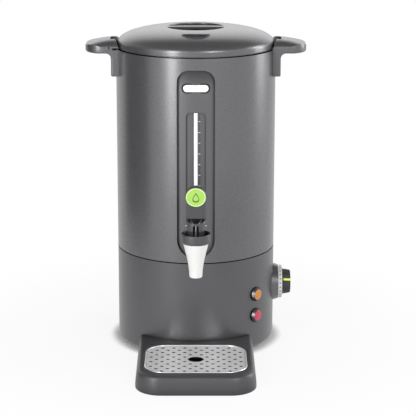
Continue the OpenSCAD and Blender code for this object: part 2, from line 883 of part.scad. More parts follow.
module base_plate() color(steel) on_axis() difference() {
    disc(plate_r, plate_z, plate_top);
    foot_places() disc(foot_neck + fit, plate_z - past, plate_top + past);
    tie_places() disc(tie_r + fit, plate_z - past, plate_top + past);
    base_screw_places() disc(base_screw_r + fit, plate_z - past, plate_top + past);
    translate([cutout_x, 0, 0]) disc(reset_r + reset_wall + fit, plate_z - past, plate_top + past);
}

module base_screws() color(steel) on_axis() base_screw_places() {
    disc(base_head_r, base_z - base_head_h, base_z);
    disc(base_screw_r, base_z, plate_top + nut_h);
}

module feet() color(black) on_axis() foot_places() {
    disc(foot_r, 0, plate_z);
    disc(foot_neck, plate_z, plate_top);
    disc(foot_neck + foot_bead, plate_top, plate_top + foot_bead_h);
}

module tie_bolts() color(steel) on_axis() tie_places() {
    disc(tie_nut / 2, plate_z - tie_head_h, plate_z, $fn = 6);
    disc(tie_r, plate_z, deck_top + tie_nut_h);
    difference() {
        disc(tie_nut / 2, deck_top, deck_top + tie_nut_h, $fn = 6);
        disc(tie_r + run, deck_top - past, deck_top + tie_nut_h + past);
    }
}

module cutout() color([0.85, 0.83, 0.78]) on_axis() difference() {
    union() {
        box(cutout_x - cutout_w / 2, cutout_x + cutout_w / 2, -cutout_d / 2, cutout_d / 2,
            plate_top, plate_top + cutout_h);
        translate([cutout_x, 0, 0]) disc(reset_r + reset_wall, base_z + past, plate_top);
        lead([[cutout_x, 0, plate_top + cutout_h], [cutout_x, 0, heat_z - sensor_drop],
              [-sensor_half, 0, heat_z - sensor_drop], [-sensor_half, 0, heat_z - sensor_r]], sensor_lead_r);
        translate([0, 0, heat_z - sensor_r]) rod_x(-sensor_half, sensor_half, sensor_r);
    }
    translate([cutout_x, 0, 0]) disc(reset_r + fit, 0, reset_top);
}

module reset_button() color("red") on_axis() translate([cutout_x, 0, 0])
    disc(reset_r, base_z + past / 2, reset_top - reset_travel - clear);

module terminal_block() color("ivory") on_axis() union() {
    box(-block_w / 2, block_w / 2, block_y, block_y + block_d, plate_top, terminal_z);
    for (i = [-1.5 : 1.5]) translate([i * block_w / 4, block_y + block_d / 2, 0])
        disc(terminal_r, terminal_z, terminal_z + terminal_h);
}

// Height of a pin of the inlet, with the middle one above the others
function pin_row(i) = inlet_z + (i == 0 ? 2.5 : -2);

// Leads from the inlet to the terminals, and from there to the element and the thermostat
module wires() color([0.7, 0.1, 0.1]) on_axis() {
    inside_y = inlet_back - pin_tail;
    turn_y = inside_y - wire_bend;
    for (i = [-1 : 1]) lead([[i * pin_x, inside_y, pin_row(i)], [i * pin_x, turn_y, pin_row(i)],
        [i * pin_x, turn_y, block_z], [i * pin_x, block_y + block_d, block_z]], wire_r);
    for (s = [-1, 1]) lead([[s * block_w / 3, block_y, block_z], [s * block_w / 3, wire_back, block_z],
        [element_end[0], s * element_end[1], block_z + wire_back],
        [element_end[0], s * element_end[1], element_low]], wire_r);
    for (s = [-wire_space, wire_space]) lead([[block_w / 2, block_y + block_d / 2 + s, block_z],
        [wire_side + s, block_y + block_d / 2 + s, block_z],
        [wire_side + s, stat_w / 4 + s, block_z],
        [stat_x - stat_d / 2, stat_w / 4 + s, block_z],
        [stat_x - stat_d / 2, stat_w / 4 + s, knob_z - stat_w / 2]], wire_r);
}

// --- Thermostat, knob and lamps ---

module thermostat() color([0.8, 0.78, 0.7]) on_axis() difference() {
    union() {
        box(stat_x - stat_d, stat_x, -stat_w / 2, stat_w / 2, knob_z - stat_w / 2, knob_z + stat_w / 2);
        translate([0, 0, knob_z]) rod_x(stat_x, bush_x, bush_r);
    }
    translate([0, 0, knob_z]) rod_x(stat_x - shaft_seat, bush_x + past, shaft_r + run);
}

module thermostat_shaft() color(steel) on_axis() translate([0, 0, knob_z])
    rod_x(stat_x - shaft_seat + clear, knob_x + knob_h - knob_cap, shaft_r);

module capillary() color(brass) on_axis() {
    translate([bulb_x, 0, bulb_z]) rod_y(-bulb_len / 2, bulb_len / 2, bulb_r);
    lead([[bulb_x, bulb_len / 2, bulb_z], [bulb_x, capillary_side, bulb_z],
          [bulb_x, capillary_side, capillary_z], [stat_x - shaft_seat, capillary_side, capillary_z],
          [stat_x - shaft_seat, capillary_side, knob_z + stat_w / 2]], capillary_r);
}

module bulb_clip() color(steel) on_axis() translate([bulb_x, 0, 0]) difference() {
    clip = bulb_r + fit;
    box(-clip - clip_t, clip + clip_t, -clip_w / 2, clip_w / 2, bulb_z - clip - clip_t, tank_z);
    translate([0, 0, bulb_z]) rod_y(-clip_w, clip_w, clip);
    box(-clip, clip, -clip_w, clip_w, bulb_z, tank_z + past);
}

module dial_nut() color(steel) on_axis() translate([0, 0, knob_z]) difference() {
    translate([body_r, 0, 0]) rotate([0, 90, 0]) cylinder(r = bush_r + nut_wall, h = nut_h, $fn = 6);
    rod_x(body_r - past, bush_x + past, bush_r + run);
}

module dial_bezel() color(dark_grey) on_axis() {
    difference() {
        translate([0, 0, knob_z]) union() {
            translate([body_r - bezel_sunk, 0, 0]) rotate([0, 90, 0])
                cylinder(r1 = bezel_r, r2 = bezel_face_r, h = bezel_h + bezel_sunk);
            rod_x(bezel_x, bezel_x + dial_t - past, hub_r);
        }
        disc(body_r, 0, base_top);
        translate([0, 0, knob_z]) {
            rod_x(base_ir, bezel_x - bezel_wall, bush_r + nut_wall + past);
            rod_x(body_r, knob_x, shaft_r + clear);
        }
    }
    translate([0, 0, knob_z]) for (s = [-1, 1]) translate([0, s * peg_y, 0]) difference() {
        rod_x(base_ir - peg_len, body_r, peg_r);
        translate([0, -s * peg_y, 0]) ring(body_r + peg_len, body_r + run, -2 * peg_r, 2 * peg_r);
    }
}

module dial_ring() color([0.94, 0.94, 0.94]) on_axis() translate([0, 0, knob_z]) difference() {
    rod_x(bezel_x, bezel_x + dial_t, dial_r);
    rod_x(bezel_x - past, bezel_x + dial_t + past, hub_r + fit);
}

module knob() color(dark_grey) on_axis() translate([0, 0, knob_z]) difference() {
    translate([knob_x, 0, 0]) rotate([0, 90, 0]) cylinder(r1 = knob_r, r2 = knob_face_r, h = knob_h);
    rod_x(knob_x - past, knob_x + knob_h - knob_cap, shaft_r + run / 2);
    marker_bar(fit / 2);
}

// The bar lies in a slot across the knob's rim, on the side that points to the scale
module marker_bar(grow = 0) rotate([-marker_angle, 0, 0]) translate([0, -knob_r, 0])
    box(knob_x + marker_foot - grow, knob_x + knob_h + past, -past, marker_sunk + grow,
        -marker_w / 2 - grow, marker_w / 2 + grow);

module knob_marker() color([0.88, 0.94, 0.38]) on_axis() translate([0, 0, knob_z]) intersection() {
    marker_bar();
    translate([knob_x, 0, 0]) rotate([0, 90, 0])
        cylinder(r1 = knob_r + marker_proud, r2 = knob_face_r + marker_proud, h = knob_h + clear);
}

module lamp_seals() color(black) on_axis() lamp_places() difference() {
    rod_x(base_ir, lamp_x, lamp_seal_r);
    rod_x(base_ir - past, lamp_x + past, lamp_stem_r + fit);
    rotate([0, 0, 180]) disc(body_r, -base_top, base_top, $fn = 360);
}

module lamp_bezels() color(chrome) on_axis() lamp_places() difference() {
    union() {
        translate([lamp_x, 0, 0]) rotate([0, 90, 0])
            cylinder(r1 = lamp_bezel_r, r2 = lens_r + lens_lip, h = lamp_bezel_h);
        rod_x(base_ir - lamp_stem_len, lamp_x, lamp_stem_r);
    }
    rod_x(lens_seat_x, lens_x + past, lens_r + run);
    rod_x(base_ir - lamp_stem_len - past, lens_x, lamp_stem_r - lamp_stem_wall);
}

module lamp_nuts() color(steel) on_axis() lamp_places() {
    nut_face = sqrt(base_ir * base_ir - lamp_nut_r * lamp_nut_r) - fit;
    difference() {
        translate([nut_face - nut_h, 0, 0]) rotate([0, 90, 0]) cylinder(r = lamp_nut_r, h = nut_h, $fn = 6);
        rod_x(nut_face - nut_h - past, nut_face + past, lamp_stem_r + run);
    }
}

// Radius of an arc with a given chord half and rise
function arc_r(half, rise) = (half * half + rise * rise) / (2 * rise);

module lens(z) rotate([0, 0, lamp_angle - 90]) translate([lens_seat_x, 0, z]) rotate([0, 90, 0])
    rotate_extrude() {
        edge = lens_x - lens_seat_x;
        dome_r = arc_r(lens_r, lens_dome);
        square([lens_r, edge]);
        intersection() {
            translate([0, edge + lens_dome - dome_r]) circle(r = dome_r);
            square([lens_r, edge + lens_dome]);
        }
    }

module lamp_orange() color([0.95, 0.55, 0.2]) on_axis() lens(lamp_hi_z);
module lamp_red() color([0.85, 0.2, 0.3]) on_axis() lens(lamp_lo_z);

// --- Power inlet at the back ---

module power_inlet() color(black) on_axis() mirror([0, 1, 0]) difference() {
    union() {
        slab_y(base_ir - inlet_lap, inlet_y) translate([0, inlet_z]) round_rect(inlet_w, inlet_h, inlet_corner);
        slab_y(inlet_back, inlet_y) inlet_outline();
    }
    difference() {
        disc(body_r, 0, base_top);
        slab_y(inlet_back - past, body_r) inlet_outline();
    }
    slab_y(inlet_y - socket_d, inlet_y + past) translate([0, inlet_z])
        round_rect(socket_w, socket_h, socket_corner);
    inlet_screw_places() {
        rod_y(base_ir - inlet_lap - past, inlet_y + past, inlet_screw_r + fit);
        rod_y(inlet_y - inlet_head_h, inlet_y + past, inlet_head_r + fit);
    }
    for (i = [-1 : 1]) slab_y(inlet_back - past, inlet_y) translate([i * pin_x, pin_row(i)])
        square([pin_w + 2 * run, pin_h + 2 * run], center = true);
}

module inlet_pins() color(brass) on_axis() mirror([0, 1, 0])
    for (i = [-1 : 1]) slab_y(inlet_back - pin_tail, inlet_y - pin_sunk)
        translate([i * pin_x, pin_row(i)]) square([pin_w, pin_h], center = true);

module inlet_screws() color(steel) on_axis() mirror([0, 1, 0]) inlet_screw_places() {
    rod_y(base_ir - inlet_lap - nut_h, inlet_y - inlet_head_h, inlet_screw_r);
    rod_y(inlet_y - inlet_head_h, inlet_y - fit, inlet_head_r);
}

// --- Handles ---

module handle_plan() {
    half = handle_w / 2;
    translate([tank_r, -half]) square([handle_tip - handle_corner - tank_r, handle_w]);
    translate([tank_r, handle_corner - half]) square([handle_tip - tank_r, handle_w - 2 * handle_corner]);
    for (s = [-1, 1])
        translate([handle_tip - handle_corner, s * (half - handle_corner)]) circle(r = handle_corner);
}

module handle() difference() {
    union() {
        intersection() {
            translate([0, 0, handle_z]) linear_extrude(handle_edge + handle_crown) handle_plan();
            crown_across = arc_r(handle_w / 2, handle_crown);
            translate([tank_r, 0, handle_top - crown_across]) rod_x(0, handle_tip, crown_across);
            crown_along = arc_r(handle_reach, handle_crown);
            translate([body_r, 0, handle_top - crown_along]) rod_y(-handle_w, handle_w, crown_along);
        }
        box(tank_r, bracket_x, -handle_w / 2, handle_w / 2, bracket_z, handle_z + past);
        difference() {
            box(tank_r, bracket_x + handle_fillet, -handle_w / 2, handle_w / 2,
                handle_z - handle_fillet, handle_z + past);
            translate([bracket_x + handle_fillet, 0, handle_z - handle_fillet])
                rod_y(-handle_w, handle_w, handle_fillet);
        }
    }
    disc(body_r, 0, jacket_top);
    disc(lid_r + lid_room, jacket_top - past, handle_top + past);
    // Notch that lets the lug down, and the slot that it turns into, open on one flank
    intersection() {
        disc(slot_r - past, slot_z0, handle_top + past);
        wedge(slot_r, -notch_half, notch_half, slot_z0, handle_top + past);
    }
    intersection() {
        disc(slot_r, slot_z0, slot_z1);
        wedge(slot_r + past, -notch_half, slot_end, slot_z0, slot_z1);
    }
    for (s = [-1, 1]) translate([0, s * handle_screw_y, handle_screw_z])
        rod_x(tank_r, bracket_x - screw_nose, handle_screw_r + run);
}

module handle_right() color(body_grey) on_axis() handle();
module handle_left() color(body_grey) on_axis() rotate([0, 0, 180]) handle();

module handle_plates() color(steel) on_axis() for (turn = [0, 180]) rotate([0, 0, turn]) difference() {
    box(strap_x - strap_t, strap_x, -strap_w / 2, strap_w / 2,
        handle_screw_z - strap_h / 2, handle_screw_z + strap_h / 2);
    for (s = [-1, 1]) translate([0, s * handle_screw_y, handle_screw_z])
        rod_x(tank_r, body_r, handle_screw_r + fit);
}

module handle_screws() color(steel) on_axis() for (turn = [0, 180], s = [-1, 1])
    rotate([0, 0, turn]) translate([0, s * handle_screw_y, handle_screw_z]) {
        rod_x(strap_x - strap_t - screw_head_h, strap_x - strap_t, 2 * handle_screw_r);
        rod_x(strap_x - strap_t, bracket_x - screw_nose - past, handle_screw_r);
    }

// --- Lid ---

// Height of the dome at a distance from the axis: the edge plus rise * sqrt(1 - (r / edge)^3)
function dome_rise(r, edge) = sqrt(max(0, 1 - pow(r / edge, 3)));

module dome_solid(shrink = 0) {
    edge = lid_r - shrink;
    rise = lid_rise - shrink;
    curve = [for (i = [0 : dome_steps]) let (r = edge * sin(90 * i / dome_steps))
        [r, dome_z + rise * dome_rise(r, edge)]];
    rotate_extrude() polygon(concat([[0, lid_z - (shrink > 0 ? past : 0)]],
        [for (i = [0 : dome_steps]) curve[i]], [[edge, lid_z - (shrink > 0 ? past : 0)]]));
}

// Half-moon with its straight edge towards the middle, drawn smaller by an inset all round
module vent_outline(inset, z_lo, z_hi) translate([0, -vent_y, z_lo]) linear_extrude(z_hi - z_lo)
    intersection() {
        circle(r = vent_r - inset);
        translate([-vent_r, -vent_r]) square([2 * vent_r, vent_r - inset]);
    }

module lid_cover() color(body_grey) on_axis() {
    difference() {
        dome_solid();
        difference() {
            dome_solid(lid_wall);
            intersection() {
                box(-grip_r - lid_wall, grip_r + lid_wall, -bar_w / 2, bar_w / 2, dome_top - bar_t, dome_top);
                disc(grip_r, dome_top - bar_t, dome_top);
            }
            ring(lid_r, flange_r - clear - rib_w, pan_top + fit, pan_top + lid_wall);
        }
        difference() {
            disc(grip_r, dome_z, dome_top + past);
            box(-grip_r - past, grip_r + past, -bar_w / 2, bar_w / 2, dome_top - bar_t, dome_top + past);
        }
        vent_outline(0, dome_z, dome_top + past);
    }
    for (turn = [0, 180]) rotate([0, 0, turn]) intersection() {
        ring(lid_r + lug_reach, lid_r - lid_wall, lug_z, lug_z + lug_t);
        wedge(lid_r + lug_reach + past, -lug_angle, lug_angle, lug_z, lug_z + lug_t);
    }
}

// Lowest height of the dome's inside over a ring of radius r
function dome_under(r) = dome_z + (lid_rise - lid_wall) * dome_rise(r, lid_r - lid_wall);

module grip_cup() color(dark_grey) on_axis() {
    rim_r = grip_r + cup_flange;
    rim_z = dome_under(rim_r) - fit;
    difference() {
        union() {
            disc(grip_r + cup_side, grip_z - cup_floor, rim_z);
            disc(rim_r, rim_z - cup_flange_t, rim_z);
            disc(boss_r, pan_z + pan_wall + clear, grip_z - past);
            disc(spigot_r, pan_z - fit, grip_z - past);
        }
        disc(grip_r + fit, grip_z, rim_z + past);
        disc(lid_screw_r, pan_z - past, grip_z - cup_floor - past);
    }
}

module lid_vent() color(dark_grey) on_axis() {
    floor_z = dome_top - vent_depth;
    intersection() {
        dome_solid(fit);
        difference() {
            vent_outline(fit, floor_z - vent_wall, dome_top);
            vent_outline(vent_wall, floor_z, dome_top + past);
            for (x = [-steam_x, 0, steam_x]) translate([x, -steam_y, 0])
                disc(steam_r, floor_z - 2 * vent_wall, dome_top);
        }
    }
}

module lid_pan() color(steel) on_axis() difference() {
    pan_r = tank_ir - pan_gap;
    union() {
        disc(flange_r - clear, pan_top - pan_wall, pan_top);
        disc(pan_r, pan_z, pan_top);
    }
    disc(pan_r - pan_wall, pan_z + pan_wall, pan_top + past);
    disc(spigot_r + run, pan_z - past, pan_top);
    translate([0, -steam_y, 0]) disc(2 * steam_r, pan_z - past, pan_top);
}

module lid_seal() color([0.8, 0.8, 0.78]) on_axis()
    ring(flange_r - 2, tank_ir + 2, tank_top + fit, tank_top + fit + seal_h);

module lid_screw() color(steel) on_axis() {
    washer_z = pan_z - 2 * fit - washer_t;
    disc(spigot_r + washer_lap, washer_z, pan_z - 2 * fit);
    disc(2 * lid_screw_r, washer_z - lid_screw_r, washer_z);
    disc(lid_screw_r - run, washer_z, grip_z - 2 * cup_floor);
}

// --- Tap ---

module at_tap() translate([0, -tap_y, 0]) children();

// Outside of the nozzle: a cone that narrows in a slow curve to a straight spout
module nozzle_profile() {
    rise = tap_top_z - nozzle_z;
    spread = tap_top_r - nozzle_r;
    polygon([
        [0, nozzle_z], [nozzle_r, nozzle_z], [nozzle_r + 0.07 * spread, nozzle_z + 0.22 * rise],
        [nozzle_r + 0.3 * spread, nozzle_z + 0.49 * rise], [nozzle_r + 0.59 * spread, nozzle_z + 0.71 * rise],
        [nozzle_r + 0.92 * spread, nozzle_z + 0.95 * rise], [tap_top_r, tap_top_z], [0, tap_top_z]]);
}

module tap_body() color([0.93, 0.93, 0.92]) on_axis() difference() {
    union() {
        at_tap() rotate_extrude() nozzle_profile();
        translate([0, 0, tap_z]) {
            rod_y(tank_ir - shank_tail, tap_y, shank_r);
            rod_y(tap_flange_y, tap_flange_y + tap_flange_t, shank_r + tap_lap);
        }
    }
    at_tap() disc(chamber_r, seat_z, tap_top_z + past);
    at_tap() disc(outlet_bore, nozzle_z - past, seat_z + past);
    translate([0, 0, tap_z]) rod_y(tank_ir - shank_tail - past, tap_y, shank_bore);
}

// One washer outside the recess, one between its floor and the tank, and one inside the tank
module tap_washers() color(black) on_axis() {
    washer_r = shank_r + tap_lap;
    low = tap_z - around_tap;
    high = tap_z + around_tap;
    difference() {
        translate([0, 0, tap_z]) rod_y(channel_r - washer_back, tap_flange_y, washer_r);
        disc(channel_r, low, high);
        translate([0, 0, tap_z]) rod_y(tank_r, body_r + past, shank_r + fit);
    }
    intersection() {
        difference() {
            translate([0, 0, tap_z]) rod_y(tank_r - washer_back, channel_r, washer_r);
            translate([0, 0, tap_z]) rod_y(tank_r - washer_back - past, body_r, shank_r + fit);
        }
        ring(channel_r - panel_wall, tank_r, low, high);
    }
    difference() {
        intersection() {
            translate([0, 0, tap_z]) rod_y(washer_face, tank_r, washer_r - past);
            disc(tank_ir, low, high);
        }
        translate([0, 0, tap_z]) rod_y(washer_face - past, tank_r, shank_r + fit);
    }
}

module tap_nut() color(brass) on_axis() translate([0, 0, tap_z]) difference() {
    translate([0, tap_nut_t - washer_face, 0]) rotate([90, 0, 0])
        cylinder(r = shank_r + tap_nut_lap, h = tap_nut_t, $fn = 6);
    rod_y(washer_face - tap_nut_t - past, washer_face + past, shank_r + run);
}

module mouth_cut() {
    lean = atan2(neck_z1 - neck_z0, 2 * neck_r);
    at_tap() translate([0, -neck_r, neck_z0]) rotate([lean, 0, 0])
        box(-2 * neck_r, 2 * neck_r, -neck_r, 5 * neck_r, 0, 3 * neck_r);
}

// A wide cup, a narrow waist that stands in it, and the neck that carries the lever
module tap_bonnet() color(dark_grey) on_axis() difference() {
    cup_top = tap_top_z + cup_h;
    floor_top = tap_top_z + cup_floor_t;
    neck_top = neck_z1 + neck_r;
    at_tap() union() {
        difference() {
            disc(cup_r, tap_top_z, cup_top);
            disc(cup_r - cup_wall, floor_top, cup_top + past);
        }
        disc(waist_r, floor_top - past, neck_low + past);
        disc(neck_r, neck_low, neck_top);
        disc(chamber_r - fit, spring_top, floor_top);
    }
    at_tap() {
        disc(waist_r - neck_wall, floor_top, neck_top + past);
        disc(neck_r - neck_wall, neck_low + neck_floor, neck_top + past);
        disc(stem_r + run, spring_top - past, floor_top + past);
        box(-slot_w / 2, slot_w / 2, -neck_r - past, 0, floor_top + slot_w / 2, pivot_z + slot_over);
    }
    mouth_cut();
    translate([0, -lever_y, pivot_z]) rod_x(-neck_r - past, neck_r + past, pin_r + run);
}

module tap_stem() color(chrome) on_axis() at_tap() {
    disc(stem_r, seat_z + stem_sunk, head_z);
    disc(collar_r, seat_top, seat_top + collar_t);
    translate([0, 0, head_z]) rod_x(-tail_in - tail_t, tail_in + tail_t, head_r);
}

module seat_cup() color([0.85, 0.85, 0.83]) on_axis() at_tap() difference() {
    disc(seat_r, seat_z + fit, seat_top);
    disc(stem_r, seat_z + stem_sunk, seat_top + past);
}

module tap_spring() color(steel) on_axis() at_tap() {
    low = seat_top + collar_t + spring_wire;
    pitch = (spring_top - spring_wire - low) / (spring_turns - 1);
    for (i = [0 : spring_turns - 1]) translate([0, 0, low + i * pitch])
        rotate_extrude() translate([spring_r, 0]) circle(r = spring_wire, $fn = 24);
    for (i = [0 : spring_turns - 2]) rotate([0, 0, i * 180]) translate([spring_r, 0, 0])
        disc(spring_wire * 0.8, low + i * pitch, low + (i + 1) * pitch, $fn = 24);
}

// Lever frame: origin at the pin, leaning to the front
module at_lever() translate([0, -lever_y, pivot_z]) rotate([lever_lean, 0, 0]) children();

module tap_lever() color(dark_grey) on_axis() {
    at_lever() {
        difference() {
            union() {
                box(-lever_w / 2, lever_w / 2, -lever_t / 2, lever_t / 2, lever_foot, disc_w);
                translate([0, 0, disc_w]) rod_y(-lever_t / 2, disc_y, lever_head_r);
            }
            translate([0, 0, disc_w]) rod_y(disc_y - disc_t / 2, lever_head_t, disc_r + run);
        }
    }
    for (s = [0, 1]) mirror([s, 0, 0]) difference() {
        union() {
            at_lever() translate([cheek_in, 0, 0]) rotate([90, 0, 90]) linear_extrude(cheek_t) cheek_outline();
            translate([0, -lever_y, pivot_z]) {
                rod_x(tail_in, cheek_in + cheek_t, hub);
                // Tail under the spindle's cross head
                box(tail_in, tail_in + tail_t, 0, pivot_y + head_r + tail_past, -hub, tail_top);
            }
        }
        translate([0, -lever_y, pivot_z]) rod_x(0, neck_r, pin_r);
    }
}

// Side view of a cheek in the lever's frame. Its front is cut back, so that it clears the neck's rim
module cheek_outline() mirror([1, 0]) polygon([
    [-hub, 0], [hub, 0], [0.7 * hub, 1.25 * hub], [0.2 * hub, 2 * hub], [-0.12 * hub, 2.46 * hub],
    [-0.42 * hub, 2.96 * hub], [-0.25 * hub, lever_foot - 2], [0, lever_foot + past / 2],
    [-1.4 * hub, lever_foot + past / 2], [-1.6 * hub, 2.9 * hub]]);

module tap_pins() color(chrome) on_axis() for (s = [0, 1]) mirror([s, 0, 0])
    translate([0, -lever_y, pivot_z]) rod_x(tail_in, neck_r + pin_proud, pin_r);

module tap_disc() color([0.7, 0.92, 0.42]) on_axis() at_lever() translate([0, 0, disc_w])
    rod_y(disc_y - disc_t / 2, disc_y + disc_t / 2, disc_r);

// --- Drip tray ---

// Plan of the tray, drawn smaller by an inset all round
module tray_outline(inset = 0) difference() {
    half = tray_w / 2 - inset;
    corner = tray_corner - inset;
    front = tray_y - inset;
    union() {
        translate([-half, corner - front]) square([2 * half, front - corner - rear_y]);
        translate([corner - half, -front]) square([2 * (half - corner), front - rear_y]);
        for (s = [-1, 1]) translate([s * (half - corner), corner - front]) circle(r = corner);
    }
    circle(r = body_r + tray_gap + inset);
}

module grille_outline(grow = 0)
    translate([0, -grille_y]) round_rect(grille_w + 2 * grow, grille_d + 2 * grow, grille_corner + grow);

module drip_tray() color(dark_grey) on_axis() {
    basin_z = 2 * tray_wall;
    difference() {
        linear_extrude(tray_h) tray_outline();
        translate([0, 0, grille_z]) linear_extrude(tray_h) grille_outline(clear);
        translate([0, 0, basin_z]) linear_extrude(tray_h) grille_outline(-ledge_w);
        // Hollow underneath, round the basin
        translate([0, 0, -past]) linear_extrude(grille_z - tray_wall + past) difference() {
            tray_outline(tray_wall);
            grille_outline(tray_wall - ledge_w);
        }
        translate([0, 0, -past]) linear_extrude(basin_z - tray_wall + past) grille_outline(-ledge_w);
    }
    box(-tongue_w / 2, tongue_w / 2, -body_r - tray_gap - tray_wall, tongue_reach - body_r, 0, tongue_t);
}

// A drain hole is kept where it clears the rounded rim and the finger hole
function in_rim(x, y, edge) =
    let (dx = abs(x) - grille_w / 2 + grille_corner, dy = abs(y) - grille_d / 2 + grille_corner)
    (dx < 0 || dy < 0) ? (abs(x) < grille_w / 2 - edge && abs(y) < grille_d / 2 - edge)
                       : norm([dx, dy]) < grille_corner - edge;

function drain_holes() = [for (row = [-6 : 6], i = [-6 : 6])
    let (x = (i + (row % 2 == 0 ? 0.5 : 0)) * drain_x, y = row * drain_y)
    if (in_rim(x, y, 6) && norm([x, y]) > finger_r + 4) [x, y]];

module grille() color(steel) on_axis() difference() {
    translate([0, 0, grille_z]) linear_extrude(grille_t) grille_outline();
    translate([0, -grille_y, 0]) {
        disc(finger_r, grille_z - past, tray_h);
        for (p = drain_holes()) translate(p) disc(drain_r, grille_z - past, tray_h, $fn = 24);
    }
}

jacket();
recess_panel();
badge_plate();
gauge_tube();
level_scale();
gauge_elbow();
top_ring();
tank();
deck_ring();
seam_ring();
heat_plate();
heating_element();
base_shell();
base_plate();
base_screws();
feet();
tie_bolts();
thermostat();
thermostat_shaft();
capillary();
bulb_clip();
dial_nut();
dial_bezel();
dial_ring();
knob();
knob_marker();
cutout();
reset_button();
terminal_block();
wires();
lamp_seals();
lamp_bezels();
lamp_nuts();
lamp_orange();
lamp_red();
power_inlet();
inlet_pins();
inlet_screws();
handle_left();
handle_right();
handle_screws();
handle_plates();
lid_cover();
grip_cup();
lid_vent();
lid_pan();
lid_seal();
lid_screw();
tap_body();
tap_washers();
tap_nut();
tap_bonnet();
tap_stem();
seat_cup();
tap_spring();
tap_lever();
tap_pins();
tap_disc();
drip_tray();
grille();
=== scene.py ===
import math

import bmesh
import bpy
import numpy as np
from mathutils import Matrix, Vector


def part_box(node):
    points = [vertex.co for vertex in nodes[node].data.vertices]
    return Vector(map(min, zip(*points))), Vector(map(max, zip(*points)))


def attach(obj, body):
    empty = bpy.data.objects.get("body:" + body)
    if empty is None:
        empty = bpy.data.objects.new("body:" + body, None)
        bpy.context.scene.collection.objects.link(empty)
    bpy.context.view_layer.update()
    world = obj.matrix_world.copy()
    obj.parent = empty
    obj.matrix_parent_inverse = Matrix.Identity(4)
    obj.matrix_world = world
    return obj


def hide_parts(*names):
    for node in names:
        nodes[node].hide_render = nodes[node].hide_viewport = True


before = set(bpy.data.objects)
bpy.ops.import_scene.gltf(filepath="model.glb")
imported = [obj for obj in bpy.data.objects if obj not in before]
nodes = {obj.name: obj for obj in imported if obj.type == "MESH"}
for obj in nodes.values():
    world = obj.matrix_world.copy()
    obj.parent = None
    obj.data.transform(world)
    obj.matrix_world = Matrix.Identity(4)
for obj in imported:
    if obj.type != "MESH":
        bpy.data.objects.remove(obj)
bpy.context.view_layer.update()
jacketLow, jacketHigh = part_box("jacket")
axisY = (jacketLow[1] + jacketHigh[1]) / 2  # the urn's own axis stands here
bodyRadius = (jacketHigh[0] - jacketLow[0]) / 2


# Shapes are worked out in millimetres about the urn's axis, as (across, forward, height).

def unit(v):
    return v / np.maximum(np.linalg.norm(v, axis=-1, keepdims=True), 1e-12)


def filleted(corners, steps=8):
    # Closed outline from corners (x, y, radius): each corner becomes an arc that touches both its sides.
    # Arc centre = corner + (away - into) direction * radius / cos(turn / 2), points by spherical steps.
    corners = np.asarray(corners, float)
    p, radius = corners[..., :2], corners[..., 2]
    into = unit(p - np.roll(p, 1, -2))
    away = unit(np.roll(p, -1, -2) - p)
    turn = np.maximum(np.arccos(np.clip((into * away).sum(-1), -1, 1)), 1e-4)
    cut = (radius * np.tan(turn / 2))[..., None]
    centre = p + unit(away - into) * (radius / np.cos(turn / 2))[..., None]
    t = np.linspace(0, 1, steps)
    a = (p - cut * into - centre)[..., None, :]
    b = (p + cut * away - centre)[..., None, :]
    turn = turn[..., None, None]
    arc = (np.sin((1 - t[:, None]) * turn) * a + np.sin(t[:, None] * turn) * b) / np.sin(turn)
    ring = arc + centre[..., None, :]
    return ring.reshape(*ring.shape[:-3], -1, 2)


def filletedBox(left, right, low, high, fillets, steps):
    # Rectangle whose lower and upper corners have their own fillets
    below, above = fillets
    return filleted([(left, low, below), (right, low, below),
                     (right, high, above), (left, high, above)], steps)


def smoothThrough(points, count):
    # Catmull-Rom curve through the points: each stretch is a cubic that keeps its neighbours' direction.
    p = np.asarray(points, float)
    p = np.vstack([2 * p[0] - p[1], p, 2 * p[-1] - p[-2]])
    t = np.linspace(0, len(points) - 1, count)
    i = np.minimum(t.astype(int), len(points) - 2)
    u = (t - i)[:, None]
    a, b, c, d = p[i], p[i + 1], p[i + 2], p[i + 3]
    return 0.5 * (2 * b + (c - a) * u + (2 * a - 5 * b + 4 * c - d) * u**2 + (3 * b - a - 3 * c + d) * u**3)


def revolved(profile, count=96, along="z", at=(0, 0, 0)):
    # Rows (radius, height) turned about a line: radius * cos a and radius * sin a across, height along.
    r, h = np.asarray(profile, float).T
    a = np.linspace(0, 2 * np.pi, count, endpoint=False)
    x, y, z = np.outer(r, np.cos(a)), np.outer(r, np.sin(a)), np.repeat(h[:, None], count, 1)
    order = {"z": (x, y, z), "x": (z, x, y), "forward": (x, z, y)}[along]
    return np.stack(order, -1) + np.array(at, float)


def stacked(outlines, heights):
    # A pile of closed outlines (x, forward), each at its own height.
    outlines = np.asarray(outlines, float)
    z = np.broadcast_to(np.asarray(heights, float)[:, None, None], outlines.shape[:-1] + (1,))
    return np.concatenate([outlines, z], -1)


def slab(outline, ends, along="z"):
    # A flat outline (u, v) carried along an axis, from one end to the other.
    u, v = (np.tile(outline[:, k], (len(ends), 1)) for k in (0, 1))
    w = np.repeat(np.asarray(ends, float)[:, None], len(outline), 1)
    return np.stack({"z": (u, v, w), "x": (w, u, v), "forward": (u, w, v)}[along], -1)


def quarter(radius, steps=5):
    # Rows (inset, drop) of a rounded edge: inset = radius * (1 - cos t), drop = radius * (1 - sin t).
    t = np.linspace(np.pi / 2, 0, steps)
    return np.stack([radius * (1 - np.cos(t)), radius * (1 - np.sin(t))], -1)


def gridFaces(rows, cols, around, start):
    i, j = np.meshgrid(np.arange(rows - 1), np.arange(cols if around else cols - 1), indexing="ij")
    k = (j + 1) % cols
    quads = np.stack([i * cols + j, i * cols + k, (i + 1) * cols + k, (i + 1) * cols + j], -1)
    return (quads.reshape(-1, 4) + start).tolist()


def addObject(name, data):
    thing = bpy.data.objects.new(name, data)
    bpy.context.scene.collection.objects.link(thing)
    return thing


